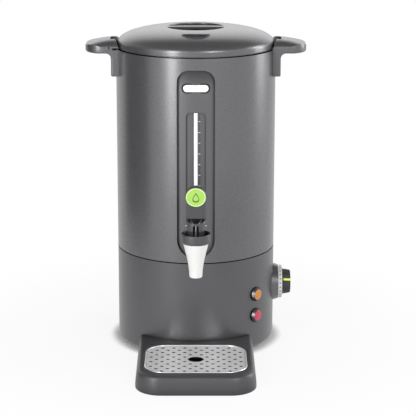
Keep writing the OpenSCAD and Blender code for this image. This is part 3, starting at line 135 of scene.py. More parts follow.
def makeMesh(name, sheets, sharp=35):
    # sheets: (grid of points, closed around its columns, ends capped). The points go from millimetres
    # about the axis to the frame's metres, where forward is -Y.
    points, faces, start = [], [], 0
    for grid, around, capped in sheets:
        rows, cols = grid.shape[:2]
        faces += gridFaces(rows, cols, around, start)
        if capped:
            faces += [list(range(start, start + cols)),
                      list(range(start + (rows - 1) * cols, start + rows * cols))]
        points.append(grid.reshape(-1, 3))
        start += rows * cols
    points = np.vstack(points) / 1000
    points[:, 1] = axisY - points[:, 1]
    mesh = bpy.data.meshes.new(name)
    mesh.from_pydata(points.tolist(), [], faces)
    tidyMesh(mesh, sharp)
    return addObject(name, mesh)


def tidyMesh(mesh, sharp):
    # Doubles merged, faces outwards, and edges over sharp degrees left crisp
    work = bmesh.new()
    work.from_mesh(mesh)
    bmesh.ops.remove_doubles(work, verts=work.verts, dist=2e-6)
    bmesh.ops.dissolve_degenerate(work, edges=work.edges, dist=1e-6)
    bmesh.ops.recalc_face_normals(work, faces=work.faces)
    work.to_mesh(mesh)
    work.free()
    mesh.shade_smooth()
    mesh.set_sharp_from_angle(angle=math.radians(sharp))


def cutAway(piece, cutters, sharp=35):
    # Takes the cutters out of the piece, then removes them.
    for cutter in cutters:
        away = piece.modifiers.new("cut", "BOOLEAN")
        away.object = cutter
        away.solver = "EXACT"
    bpy.context.view_layer.update()
    result = bpy.data.meshes.new_from_object(piece.evaluated_get(bpy.context.evaluated_depsgraph_get()))
    piece.modifiers.clear()
    piece.data = result
    for cutter in cutters:
        bpy.data.objects.remove(cutter)
    tidyMesh(result, sharp)
    return piece


def dress(piece, body, material, replaced=()):
    piece.data.materials.clear()
    piece.data.materials.append(material)
    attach(piece, body)
    if replaced:
        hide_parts(*replaced)


def linear(colour):
    # sRGB hex to the linear values that the shader takes
    srgb = np.array([int(colour[i:i + 2], 16) for i in (1, 3, 5)]) / 255
    return (*np.where(srgb <= 0.04045, srgb / 12.92, ((srgb + 0.055) / 1.055) ** 2.4), 1.0)


def addNode(tree, kind, inputs=None, **settings):
    node = tree.nodes.new(kind)
    for key, value in settings.items():
        setattr(node, key, value)
    for key, value in (inputs or {}).items():
        if isinstance(value, bpy.types.NodeSocket):
            tree.links.new(value, node.inputs[key])
        else:
            node.inputs[key].default_value = value
    return node


def clearTree(owner):
    owner.use_nodes = True
    owner.node_tree.nodes.clear()
    return owner.node_tree


look = {"broadDetail": 3.0, "fineDetail": 2.0, "glossFrom": 0.25, "glossTo": 0.75, "smoothest": 0.02,
        "creaseFrom": 0.3, "creaseTo": 0.92, "creaseSamples": 6}
black = (0, 0, 0, 1)
white = (1, 1, 1, 1)


def surface(name, colour, roughness, metallic=0.0, shade=0.06, patch=60, grain=1.2, depth=0.02,
            polish=0.06, stretch=(1, 1, 1), creaseShade=0.0, creaseReach=9, duskShade=None, **shader):
    # A finish with broad patches of shade (patch, mm), a fine relief (grain, mm, depth, mm) and gloss
    # that wanders by polish. stretch draws the relief out along an axis, as brushing or turning does.
    # Two settings paint shade into the colour: one darkens it towards corners and gaps that lie within a
    # reach (mm), the other (from, to, share) darkens it from one height (mm) up to another.
    material = bpy.data.materials.new(name)
    tree = clearTree(material)
    place = addNode(tree, "ShaderNodeTexCoord").outputs["Object"]
    broad = addNode(tree, "ShaderNodeTexNoise",
                    {"Vector": place, "Scale": 1000 / patch, "Detail": look["broadDetail"]})
    rgb = linear(colour)
    darker = (*[c * (1 - shade) for c in rgb[:3]], 1)
    lighter = (*[min(1, c * (1 + shade)) for c in rgb[:3]], 1)
    tint = addNode(tree, "ShaderNodeMix", {"Factor": broad.outputs["Fac"], "A": darker, "B": lighter},
                   data_type="RGBA").outputs["Result"]
    drawn = addNode(tree, "ShaderNodeMapping", {"Vector": place, "Scale": stretch})
    fine = addNode(tree, "ShaderNodeTexNoise",
                   {"Vector": drawn.outputs["Vector"], "Scale": 1000 / grain, "Detail": look["fineDetail"]})
    gloss = addNode(tree, "ShaderNodeMapRange",
                    {"Value": fine.outputs["Fac"], "From Min": look["glossFrom"], "From Max": look["glossTo"],
                     "To Min": max(look["smoothest"], roughness - polish),
                     "To Max": min(1, roughness + polish)})
    relief = addNode(tree, "ShaderNodeBump",
                     {"Height": fine.outputs["Fac"], "Strength": 1.0, "Distance": depth / 1000})
    # Each painted shade runs smoothly from low to high while its value runs from start to end
    paintedShades = []
    # Painted shade: the colour darkens where ambient occlusion finds corners and gaps close by
    if creaseShade:
        openness = addNode(tree, "ShaderNodeAmbientOcclusion", {"Distance": creaseReach / 1000},
                           samples=look["creaseSamples"]).outputs["AO"]
        paintedShades.append((openness, look["creaseFrom"], look["creaseTo"], 1 - creaseShade, 1.0))
    # Painted shade: the colour darkens from one height up to another
    if duskShade:
        height = addNode(tree, "ShaderNodeSeparateXYZ", {0: place}).outputs["Z"]
        paintedShades.append((height, duskShade[0] / 1000, duskShade[1] / 1000, 1.0, 1 - duskShade[2]))
    for value, start, end, low, high in paintedShades:
        share = addNode(tree, "ShaderNodeMapRange",
                        {"Value": value, "From Min": start, "From Max": end, "To Min": low, "To Max": high},
                        interpolation_type="SMOOTHSTEP").outputs["Result"]
        tint = addNode(tree, "ShaderNodeMix", {"Factor": share, "A": black, "B": tint},
                       data_type="RGBA").outputs["Result"]
    bsdf = addNode(tree, "ShaderNodeBsdfPrincipled",
                   {"Base Color": tint, "Roughness": gloss.outputs["Result"],
                    "Metallic": metallic, "Normal": relief.outputs["Normal"], **shader})
    addNode(tree, "ShaderNodeOutputMaterial", {"Surface": bsdf.outputs["BSDF"]})
    return material


# Grain, relief (both mm) and shade that finishes made the same way share. Real moulded grain and metal
# flake (0.1 mm) and brushing and turning marks (0.05 mm) are too fine to show, so they are drawn at 0.5
# to 0.9 mm here and below.
lacquered = {"grain": 0.9, "depth": 0.004, "shade": 0.03}
satinMoulded = {"grain": 0.6, "depth": 0.006, "shade": 0.03}
mattMoulded = {"grain": 0.5, "depth": 0.01, "shade": 0.05}
acetalMoulded = {"grain": 0.8, "depth": 0.003, "shade": 0.03}
plated = {"grain": 4.0, "depth": 0.001, "shade": 0.02}

# Satin pearl lacquer on steel: fine metal flake, so the sides catch soft upright bands of light. Painted
# shade darkens it a little in corners and gaps
pearlLacquer = surface("satin pearl lacquer", "#6A6A6C", 0.3, 0.6, creaseShade=0.35, **lacquered)
# The same lacquer on the lid's bar, with painted shade that darkens its sides down in the well
shadedBarLacquer = surface("satin bar lacquer with painted shade", "#6A6A6C", 0.3, 0.6, creaseShade=0.97, creaseReach=45, **lacquered)
# The same lacquer on the base's plastic: a little deeper in tone, with painted shade a little darker in
# corners and gaps
baseLacquer = surface("satin base lacquer", "#5D5D5F", 0.34, 0.6, creaseShade=0.35, **lacquered)
# ABS moulded in the same grey, for the handles: satin, as bright as the lacquer, with a little painted shade
# in corners and gaps
handleAbs = surface("satin handle ABS", "#68686B", 0.34, 0.6, creaseShade=0.35, **satinMoulded)
# Liner of the recess: the same grey, with painted shade that darkens it towards its closed upper end, which
# the light doesn't reach, and a little in its corners
linerAbs = surface("moulded liner ABS", "#646466", 0.36, 0.5, creaseShade=0.2, duskShade=(384, 418, 0.62),
                   **satinMoulded)
# Black-grey ABS of the band round the badge and the spindle's cap, both dark as painted shade, darker still
# with painted shade in corners and gaps, and with a faint sheen along its edges
darkAbs = surface("moulded charcoal ABS", "#1C1C1E", 0.55, creaseShade=0.9, **mattMoulded,
                  **{"Specular IOR Level": 0.25})
# Black-grey ABS in the lid's finger well, with painted shade that darkens it to near black, where hardly any
# light gets in
wellAbs = surface("charcoal ABS in the wells", "#161617", 0.6, creaseShade=0.95, creaseReach=45, **mattMoulded,
                  **{"Specular IOR Level": 0.1})
# Charcoal ABS of the steam vent, with painted shade that darkens it beside the lid, but not as deep as in the
# finger well
ventAbs = surface("moulded vent ABS", "#4A4A4C", 0.5, creaseShade=0.7, creaseReach=16, **mattMoulded,
                  **{"Specular IOR Level": 0.3})
# The knob's own ABS: a lighter charcoal, so that its ribs read against the dial, with painted shade between
# them and in its corners
knobAbs = surface("ribbed charcoal ABS", "#343436", 0.45, creaseShade=0.55, **mattMoulded,
                  **{"Specular IOR Level": 0.35})
# Slate-grey ABS of the tap's cup and its lever: between the lacquer and the wells in tone, with painted shade
# in corners and gaps
slateAbs = surface("moulded slate ABS", "#505053", 0.36, 0.3, creaseShade=0.6, **satinMoulded)
# Slate-grey ABS of the tray, with painted shade that makes it darkest where it runs in under the body
trayAbs = surface("moulded tray ABS", "#4C4C4F", 0.42, 0.3, creaseShade=0.7, creaseReach=26, **satinMoulded)
# White acetal, smooth moulded: bright and even, with a soft highlight
whiteAcetal = surface("moulded white acetal", "#E8E8E6", 0.3, grain=0.8, depth=0.002, shade=0.015)
# Opal glass of the level tube: white and glossy
opalGlass = surface("opal level tube", "#FFFFFF", 0.12, grain=2.0, depth=0.0005, shade=0.01, polish=0.03)
# Enamelled badge plate: clean white, glossy
enamelPlate = surface("white enamelled plate", "#FAFAF8", 0.25, grain=3.0, depth=0.001, shade=0.01)
# Nitrile rubber: black and matt, with painted shade darker still in gaps
nitrile = surface("nitrile rubber", "#0C0C0C", 0.85, grain=0.7, depth=0.015, shade=0.1, creaseShade=0.9,
                  **{"Specular IOR Level": 0.15})
# Silicone: milky and soft
silicone = surface("milky silicone", "#CFCFC8", 0.5, grain=1.5, depth=0.004, shade=0.04)
# Black chrome on the lamps' bezels: dark, with a narrow bright edge and painted shade in corners
blackChrome = surface("black chrome plate", "#6E6F72", 0.34, 0.8, creaseShade=0.6, **plated)
# Bright nickel-chrome on brass: mirror-like with a faint wander
brightChrome = surface("bright chrome plate", "#D9DBDE", 0.12, 1.0, polish=0.04, **plated)
# Drawn stainless steel sheet: satin, with a faint drawn grain along one axis
drawnSteel = surface("drawn stainless steel", "#B9BBBD", 0.3, 1.0, grain=0.6, depth=0.003,
                     stretch=(1, 1, 0.05), polish=0.08)
# Brushed stainless steel of the grille: pale and a little uneven in tone, its broad lighter and darker
# patches also a painted reflection of its sheet's uneven sheen, and painted shade darkens its holes inside
brushedSteel = surface("brushed stainless steel", "#FAFAF8", 0.32, 0.38, shade=0.15, patch=38, grain=0.5,
                       depth=0.004, stretch=(0.06, 1, 1), polish=0.1, creaseShade=0.95, creaseReach=6)
# Polished bead round the grille and the tap's spindle: bright, with a soft highlight
beadSteel = surface("polished steel bead", "#F2F2F0", 0.33, 0.7, grain=2.0, depth=0.001, shade=0.02)
# Zinc-plated steel: cool grey with a slightly patchy passivation
zincSteel = surface("zinc-plated steel", "#AEB2B8", 0.38, 1.0, patch=12, grain=1.0, depth=0.004, shade=0.08)
# Cast aluminium heat plate: dull and a little pitted
castAluminium = surface("cast aluminium", "#A7A8AA", 0.55, 1.0, patch=9, grain=1.4, depth=0.03, shade=0.1)
# Sheathed element of nickel alloy: brown-grey and patchy from the heat
heatTintedSheath = surface("heat-tinted nickel sheath", "#6B625A", 0.45, 1.0, patch=15, shade=0.18)
# Turned brass: warm, with fine turning marks
turnedBrass = surface("turned brass", "#B9964F", 0.3, 1.0, grain=0.7, depth=0.003, stretch=(1, 0.1, 1))
# Steatite and ivory phenolic housings: warm white, dull
ivoryPhenolic = surface("ivory phenolic", "#D8D1BC", 0.55, grain=0.8, depth=0.01)
# Silicone-braided red leads: soft, with a coarse weave
redLead = surface("red silicone lead", "#A3231F", 0.5, grain=0.8, depth=0.02, shade=0.1)
# Black nylon of the inlet: dull, with the glass fibre's fine mottle
blackNylon = surface("black glass-filled nylon", "#1C1C1E", 0.5, grain=0.5, depth=0.015, shade=0.08)
# Red ABS of the reset button: satin
redAbs = surface("moulded red ABS", "#B02A22", 0.35, grain=0.8, depth=0.004)
# Printed indicator: bright yellow-green, satin
limePaint = surface("lime indicator paint", "#E6F254", 0.4, grain=0.8, depth=0.003, shade=0.02)
# Green acetal disc on the lever: clear and even in colour
limeAcetal = surface("moulded lime acetal", "#A7D463", 0.38, **acetalMoulded)
# The disc's edge, painted pale as a highlight, and the mark printed on it
rimHighlightLime = surface("lime acetal edge with painted highlight", "#D9F3AC", 0.3, **acetalMoulded)
olivePrint = surface("olive print", "#4C6A28", 0.5, grain=0.8, depth=0.003)
# Lamp lenses: tinted polycarbonate, glossy
amberLens = surface("amber polycarbonate", "#CC8238", 0.14, grain=2.5, depth=0.002, shade=0.05)
redLens = surface("red polycarbonate", "#C43D53", 0.14, grain=2.5, depth=0.002, shade=0.05)

nodeFinishes = {
    pearlLacquer: ["jacket", "dial_bezel"],
    baseLacquer: ["base_shell"],
    linerAbs: ["recess_panel"],
    beadSteel: ["tap_stem"],
    wellAbs: ["grip_cup"],
    ventAbs: ["lid_vent"],
    opalGlass: ["gauge_tube"],
    whiteAcetal: ["dial_ring"],
    brightChrome: ["gauge_elbow", "tap_pins"],
    blackChrome: ["lamp_bezels"],
    drawnSteel: ["tank", "lid_pan", "deck_ring", "base_plate"],
    zincSteel: ["base_screws", "tie_bolts", "thermostat_shaft", "bulb_clip", "dial_nut", "lamp_nuts",
                "inlet_screws", "handle_screws", "handle_plates", "lid_screw", "tap_spring"],
    castAluminium: ["heat_plate"],
    heatTintedSheath: ["heating_element"],
    turnedBrass: ["capillary", "inlet_pins", "tap_nut"],
    ivoryPhenolic: ["thermostat", "cutout", "terminal_block"],
    redLead: ["wires"],
    blackNylon: ["power_inlet"],
    # The top ring and the seam ring are black so that the gaps they fill, round the lid and at the body's
    # seam, show dark as painted shade
    nitrile: ["top_ring", "lid_seal", "seam_ring", "feet", "lamp_seals", "tap_washers"],
    silicone: ["seat_cup"],
    redAbs: ["reset_button"],
    limePaint: ["knob_marker"],
    amberLens: ["lamp_orange"],
    redLens: ["lamp_red"],
}
for finish, names in nodeFinishes.items():
    for name in names:
        for place in nodes[name].material_slots:
            place.material = finish
print("finishes on", sum(len(v) for v in nodeFinishes.values()), "nodes")


lid = {"radius": 113, "edgeLow": 434.2, "edgeTop": 440.5, "rise": 22.5, "wall": 1.6, "gripRadius": 40.5,
       "gripWall": 8, "lip": 1.2, "barHalf": 7, "barThick": 7, "barFillets": (1.2, 2.4), "skirtEdge": 0.8,
       "skirtReturn": 2.2, "patchInner": 56, "patchOuter": 97, "ventForward": 67, "ventMiddle": 75,
       "ventRadius": 20, "ventFloor": 455, "lugReach": 121.5, "lugRoot": 111.6, "lugLow": 433.6,
       "lugHalfAngle": 6}


def domeHeight(r):
    # edge height + rise * sqrt(1 - (r / radius)^3)
    share = np.clip(np.asarray(r, float) / lid["radius"], 0, 1)
    return lid["edgeTop"] + lid["rise"] * np.sqrt(1 - share**3)


def polar(r, a):
    # Points of the dome at radius r and angle a
    r, a = np.broadcast_arrays(r, a)
    return np.stack([r * np.cos(a), r * np.sin(a), domeHeight(r)], -1)


def swept(rows, angles):
    # Rows (radius, height) at each of the given angles
    rows = np.asarray(rows, float)
    return np.stack([rows[:, :1] * np.cos(angles), rows[:, :1] * np.sin(angles),
                     np.repeat(rows[:, 1:], len(angles), 1)], -1)


def ventPatch(angles, radii, inner, outer, sector):
    # A patch whose border runs over the belt's own points and whose hole is the half-moon
    left, right = angles[sector], angles[-sector]
    front = np.concatenate([angles[-sector:], angles[:sector + 1]])
    rim = np.concatenate([polar(radii[inner], front[:-1]), polar(radii[inner:outer], left),
                          polar(radii[outer], front[::-1][:-1]), polar(radii[outer:inner:-1], right)])
    away = lid["ventMiddle"] - lid["ventForward"]
    middle = np.array([0, lid["ventMiddle"]])
    ray = unit(rim[:, :2] - middle)
    # Half-moon seen from a point inside it: the nearer of the straight edge and the circle
    toCircle = -away * ray[:, 1] + np.sqrt(lid["ventRadius"]**2 - away**2 * (1 - ray[:, 1]**2))
    toLine = np.where(ray[:, 1] < -1e-6, -away / np.minimum(ray[:, 1], -1e-6), 1e9)
    moon = middle + ray * np.minimum(toCircle, toLine)[:, None]
    share = np.linspace(0, 1, 12)[:, None, None] ** 1.3  # rows stand closer near the half-moon
    flat = (1 - share) * moon + share * rim[:, :2]
    patch = np.concatenate([flat, domeHeight(np.linalg.norm(flat, axis=-1))[..., None]], -1)
    patch[-1] = rim
    # Rows (inset, drop) of the hole's rounded edge, then the foot of its wall
    edge = np.array([[0.12, 0.35], [0.5, 0.7], [0.7, 1.2]])
    height = domeHeight(np.linalg.norm(moon, axis=-1))[None, :] - edge[:, 1:]
    side = moon - ray * edge[:, :1, None]
    foot = np.concatenate([side[-1], np.full((len(moon), 1), lid["ventFloor"])], -1)[None]
    wall = np.concatenate([foot, np.concatenate([side, height[..., None]], -1)[::-1], patch[:1]])
    return patch, wall


def lidCover():
    # The dome turned about the axis: radius * cos a, radius * sin a, domeHeight(radius). In front, a
    # patch with the half-moon hole takes the place of the belt between patchInner and patchOuter.
    count, sector = 240, 28  # columns in all, and columns of the vent's patch to either side of the front
    angles = np.linspace(0, 2 * np.pi, count, endpoint=False) + np.pi / 2
    well, lip, low = lid["gripRadius"], lid["lip"], lid["edgeLow"]
    bend = np.linspace(np.arcsin(well / lid["radius"]) + 0.012, np.pi / 2, 64)
    radii = lid["radius"] * np.sin(bend)
    inner, outer = np.searchsorted(radii, lid["patchInner"]), np.searchsorted(radii, lid["patchOuter"])
    # Round the well's lip, from its wall up to the dome
    t = np.linspace(np.pi / 2, 0, 6)[:-1]
    high = domeHeight(well + lip)
    rows = np.concatenate([[[well, high - lid["gripWall"]]],
                           np.stack([well + lip * (1 - np.sin(t)), high - lip * (1 - np.cos(t))], -1)])
    belt = polar(np.concatenate([[well + lip], radii[:inner + 1]])[:, None], angles[None, :])
    inside = np.concatenate([swept(rows, angles), belt])
    # Skirt: down the straight edge and round its lower corner
    turn = quarter(lid["skirtEdge"], 5)[::-1]
    skirt = np.concatenate([
        np.stack([np.full(4, lid["radius"]), np.linspace(lid["edgeTop"], low + lid["skirtEdge"], 5)[1:]], -1),
        np.stack([lid["radius"] - turn[1:, 0], low + turn[1:, 1]], -1),
        [[lid["radius"] - lid["skirtReturn"], low]]])
    outside = np.concatenate([polar(radii[outer:, None], angles[None, :]), swept(skirt, angles)])
    back = polar(radii[inner:outer + 1, None], angles[sector:count - sector + 1][None, :])
    patch, wall = ventPatch(angles, radii, inner, outer, sector)
    cover = makeMesh("lidCover", [(inside, True, False), (outside, True, False), (back, False, False),
                                  (patch, True, False), (wall, True, False)], 40)
    shell = cover.modifiers.new("wall", "SOLIDIFY")
    shell.thickness = lid["wall"] / 1000
    shell.offset = -1
    return cover


def gripBar():
    # A rounded bar whose top follows the dome along x: height = domeHeight(|x|) + the section's height
    section = filletedBox(-lid["barHalf"], lid["barHalf"], -lid["barThick"], 0, lid["barFillets"], 7)
    reach = lid["gripRadius"] + lid["lip"]
    x = np.linspace(-reach, reach, 41)
    grid = np.stack([np.repeat(x[:, None], len(section), 1), np.repeat(section[None, :, 0], len(x), 0),
                     domeHeight(np.abs(x))[:, None] + section[None, :, 1]], -1)
    return makeMesh("gripBar", [(grid, True, True)])


def lockLugs():
    # Two flat sectors between lugRoot and lugReach, whose outer edge is rounded by rows (inset, height)
    sheets = []
    half = math.radians(lid["lugHalfAngle"])
    insets, z = np.array([(0.5, 0), (0.12, 0.15), (0, 0.5), (0, 1.3), (0.12, 1.65), (0.5, 1.8)]).T
    for side in (0, np.pi):
        a = np.linspace(-half, half, 9) + side
        far, near = lid["lugReach"] - insets[:, None], np.full((len(z), 1), lid["lugRoot"])
        arcs = [np.stack([r * np.cos(a), r * np.sin(a)], -1) for r in (far, near)]
        outline = np.concatenate([arcs[0], arcs[1][:, ::-1]], 1)
        sheets.append((stacked(outline, z + lid["lugLow"]), True, True))
    return makeMesh("lockLugs", sheets)


dress(lidCover(), "lid_top", pearlLacquer, ["lid_cover"])
dress(gripBar(), "lid_top", shadedBarLacquer)
dress(lockLugs(), "lid_top", pearlLacquer)
print("lid made")


handle = {"tip": 158.5, "half": 35, "corner": 26, "under": 428, "edge": 438.5, "crown": 8, "crownFrom": 115,
          "bracketLow": 395, "bracket": 121, "bracketFillet": 2, "fillet": 7, "tipFillet": 3.5, "wall": 114.7,
          "round": 2.2, "slotLow": 433, "slotHigh": 435.9, "slotReach": 124, "slotAngle": 30,
          "notchReach": 123, "notchHalf": 6.6, "above": 460, "wedgeRoot": 100,
          "hook": (122.7, 124.3, -36, -30), "hookLow": 434.4, "hookHigh": 438.6}


def handleRows():
    # Distances forward f of the sections, and the inset of each, which grows as it nears the flank:
    # inset = round * (1 - cos t) while f = half - round + round * sin t
    straight, radius = handle["half"] - handle["corner"], handle["round"]
    t = np.linspace(0, np.pi / 2, 14)[1:]
    side = np.concatenate([np.linspace(0, straight, 8), straight + (handle["corner"] - radius) * np.sin(t)])
    edge = np.linspace(0, np.pi / 2, 6)[1:]
    f = np.concatenate([side, handle["half"] - radius + radius * np.sin(edge)])
    inset = np.concatenate([side * 0, radius * (1 - np.cos(edge))])
    return np.concatenate([-f[:0:-1], f]), np.concatenate([inset[:0:-1], inset])


def handleCutters(sign):
    # Notch for the lug, the slot it turns into and the slot's hooked end on the open flank
    h = handle

    def wedge(reach, start, end, low, high):
        a = np.radians(np.linspace(start, end, 12))
        arc, base = (np.stack([r * np.cos(a), -r * np.sin(a)], -1) for r in (reach, h["wedgeRoot"]))
        return makeMesh("cutter", [(slab(np.concatenate([arc, base[::-1]]) * sign, (low, high)), True, True)])

    near, far, start, end = h["hook"]
    hook = np.array([(near, start), (far, start), (far, end), (near, end)]) * sign
    return [wedge(h["notchReach"], -h["notchHalf"], h["notchHalf"], h["slotLow"], h["above"]),
            wedge(h["slotReach"], -h["notchHalf"], h["slotAngle"], h["slotLow"], h["slotHigh"]),
            makeMesh("cutter", [(slab(hook, (h["hookLow"], h["hookHigh"])), True, True)])]


def handleBody(name, sign):
    # A section (across, height) for each distance forward. Its tip follows the rounded plan, and its top
    # is crowned: height = edge + crown * (1 - along^2) * (1 - (f / half)^4)
    h = handle
    f, inset = handleRows()
    over = np.clip(np.abs(f) - (h["half"] - h["corner"]), 0, h["corner"])
    tip = h["tip"] - h["corner"] + np.sqrt(np.maximum(h["corner"]**2 - over**2, 0)) - inset
    wall = np.sqrt(h["wall"]**2 - f**2)
    tip = np.maximum(tip, wall + 10)
    across = 1 - (f / h["half"])**4
    low = h["under"] + inset
    share = np.linspace(0.02, 0.97, 12)  # along the crown, from the tip to the wall
    crownX = tip[:, None] + (wall[:, None] + 2 - tip[:, None]) * share
    along = 1 - np.clip((crownX - h["crownFrom"]) / (h["tip"] - h["crownFrom"]), 0, 1)**2
    crownZ = h["edge"] + h["crown"] * along * across[:, None]
    crownZ = np.minimum(crownZ, h["edge"] + h["crown"]) - inset[:, None]

    def corner(*values):
        return np.stack([np.broadcast_to(np.asarray(v, float), f.shape) for v in values], -1)[:, None]

    # Round the section: bracket, underside, tip, crown, and back down the wall
    foot, face = h["bracketLow"] + inset, h["bracket"] - inset
    corners = [corner(wall, foot, 0.01), corner(face, foot, h["bracketFillet"]),
               corner(face, low, h["fillet"]), corner(tip, low, h["tipFillet"]),
               corner(tip, h["edge"] - 1.2 - inset * 0.4, 0.6)]
    corners += [corner(crownX[:, k], crownZ[:, k], 0.01) for k in range(len(share))]
    corners += [corner(wall + 1.6, crownZ[:, -1], 0.8), corner(wall, h["edge"] - 2, 0.5)]
    section = filleted(np.concatenate(corners, 1), 5)
    grid = np.stack([section[..., 0], np.repeat(f[:, None], section.shape[1], 1), section[..., 1]], -1)
    grid[..., :2] *= sign
    return cutAway(makeMesh(name, [(grid, True, True)], 30), handleCutters(sign), 30)


dress(handleBody("handleRight", 1), "urn_body", handleAbs, ["handle_right"])
dress(handleBody("handleLeft", -1), "urn_body", handleAbs, ["handle_left"])
print("handles made")


tap = {"forward": 165, "tipZ": 136.3, "topZ": 186, "tipRadius": 9, "topRadius": 18, "bore": 6, "boreDeep": 30,
       "shankZ": 177, "shank": 8.5, "shankFrom": 106, "shankTo": 160, "flange": 13.5, "flangeFrom": 113,
       "flangeTo": 116, "cupRadius": 20.6, "cupTop": 199.3, "cupWall": 2, "cupFloor": 189.5, "waist": 11.4,
       "neckLow": 204, "neckFloor": 206, "neck": 13.5, "neckWall": 2.2, "mouthFront": 215.6, "mouthBack": 222,
       "slotHalf": 4, "slotLow": 193.5, "slotHigh": 213.4, "capZ": 212.8}


def nozzle():
    # Rows (share of the widening, share of the height) of the cone's outside, from tip to top
    rise, spread = tap["topZ"] - tap["tipZ"], tap["topRadius"] - tap["tipRadius"]
    shares = np.array([(0.005, 0.032), (0.03, 0.11), (0.07, 0.22), (0.3, 0.49), (0.59, 0.71), (0.92, 0.95),
                       (1, 0.988)])
    bell = smoothThrough(shares * (spread, rise) + (tap["tipRadius"], tap["tipZ"]), 44)
    lip = quarter(1.6, 6)
    bore, end = tap["bore"], tap["tipZ"]
    profile = np.concatenate([
        [(0.01, end + tap["boreDeep"]), (bore, end + tap["boreDeep"]), (bore, end + 0.6), (bore + 0.4, end)],
        np.stack([tap["tipRadius"] - lip[:, 0], end + lip[:, 1]], -1),
        bell, [(tap["topRadius"] - 0.4, tap["topZ"]), (0.01, tap["topZ"])]])
    r, flange = tap["shank"], tap["flange"]
    shank = filleted([(0.01, tap["shankFrom"], 0), (r, tap["shankFrom"], 0), (r, tap["flangeFrom"], 0),
                      (flange, tap["flangeFrom"], 0.5), (flange, tap["flangeTo"], 1.0),
                      (r, tap["flangeTo"], 1.6), (r, tap["shankTo"], 0), (0.01, tap["shankTo"], 0)], 6)
    return makeMesh("tapNozzle", [
        (revolved(profile, 96, at=(0, tap["forward"], 0)), True, False),
        (revolved(shank, 64, "forward", (0, 0, tap["shankZ"])), True, False)], 40)


def tapCup():
    # The cup's wall and floor, rows (radius, height, fillet), turned about the tap's axis
    r, top, wall, low = tap["cupRadius"], tap["cupTop"], tap["cupWall"], tap["topZ"]
    profile = filleted([(0.01, low + 0.02, 0), (r - 1.2, low + 0.02, 0), (r, low + 1.6, 1.5), (r, top, 0.8),
                        (r - wall, top, 0.8), (r - wall, tap["cupFloor"], 1.6),
                        (0.01, tap["cupFloor"], 0)], 6)
    return makeMesh("tapCup", [(revolved(profile, 96, at=(0, tap["forward"], 0)), True, False)])


def tapNeck():
    # Waist, then the neck, whose rim leans to the front: rim = front + (back - front) * (1 - sin a) / 2
    a = np.linspace(0, 2 * np.pi, 96, endpoint=False)
    rim = tap["mouthFront"] + (tap["mouthBack"] - tap["mouthFront"]) * (1 - np.sin(a)) / 2
    out, inn, low = tap["neck"], tap["neck"] - tap["neckWall"], tap["neckLow"]
    hole = tap["waist"] - tap["neckWall"]
    t = np.linspace(0, np.pi, 9)
    half = (out - inn) / 2
    # Rows (radius, height, share of the way up to the rim). The rim itself is the half circle over t.
    rows = np.array([(tap["waist"], tap["cupFloor"] - 1, 0), (tap["waist"], low - 0.6, 0),
                     (tap["waist"] + 0.5, low, 0), (out - 0.6, low, 0), (out - 0.15, low + 0.2, 0),
                     (out, low + 0.7, 0)])
    rise, fall = np.linspace(0.25, 1, 4), np.linspace(0.75, 0, 4)
    rows = np.concatenate([
        rows, np.stack([np.full(4, out), np.full(4, low + 0.7), rise], -1),
        np.stack([out - half + half * np.cos(t), low + 0.7 + half * np.sin(t), np.ones(9)], -1),
        np.stack([np.full(4, inn), np.full(4, tap["neckFloor"]), fall], -1),
        [(hole, tap["neckFloor"], 0), (hole, tap["cupFloor"] - 1, 0)]])
    z = rows[:, 1:2] + rows[:, 2:] * (rim - half - rows[:, 1:2])
    z[10:19] = (rim - half)[None] + half * np.sin(t)[:, None]
    grid = np.stack([rows[:, :1] * np.cos(a), rows[:, :1] * np.sin(a) + tap["forward"], z], -1)
    neck = makeMesh("tapNeck", [(np.concatenate([grid, grid[:1]]), True, False)], 40)
    half = tap["slotHalf"]
    window = filletedBox(-half, half, tap["slotLow"], tap["slotHigh"], (1.2, 3.4), 6)
    opening = slab(window, (tap["forward"] + 2, tap["forward"] + 20), "forward")
    return cutAway(neck, [makeMesh("cutter", [(opening, True, True)])], 40)


def spindleShadeCap():
    # Dark sleeve on the spindle's cross head, a painted shade that keeps the neck's mouth dark: rows (radius,
    # across) turned about the across axis
    profile = [(0.01, -4.2), (1.5, -4.2), (1.75, -3.95), (1.75, 3.95), (1.5, 4.2), (0.01, 4.2)]
    sleeve = revolved(profile, 32, "x", (0, tap["forward"], tap["capZ"]))
    return makeMesh("spindleShadeCap", [(sleeve, True, False)])


dress(nozzle(), "urn_body", whiteAcetal, ["tap_body"])
dress(tapCup(), "urn_body", slateAbs, ["tap_bonnet"])
dress(tapNeck(), "urn_body", slateAbs)
dress(spindleShadeCap(), "stem_body", darkAbs)
print("tap made")


lever = {"forward": 169, "pin": 211, "lean": 9, "half": 13.5, "thick": 7, "foot": 11, "head": 44.1,
         "headRadius": 14.4, "headDepth": 8.7, "disc": 13.6, "cheekIn": 6.2, "cheekThick": 1.8, "hub": 2.4,
         "tailIn": 4.6, "tailThick": 1.3, "tailReach": 8.0, "rim": 0.8,
         "dropWide": 6.4, "dropTall": 7.2, "dropStroke": 1.5, "dropRise": 0.25}


def leant(points):
    # (across, towards the front, up) in the lever's own frame, turned about the pin
    c, s = math.cos(math.radians(lever["lean"])), math.sin(math.radians(lever["lean"]))
    x, v, w = points[..., 0], points[..., 1], points[..., 2]
    return np.stack([x, lever["forward"] + v * c + w * s, lever["pin"] + w * c - v * s], -1)


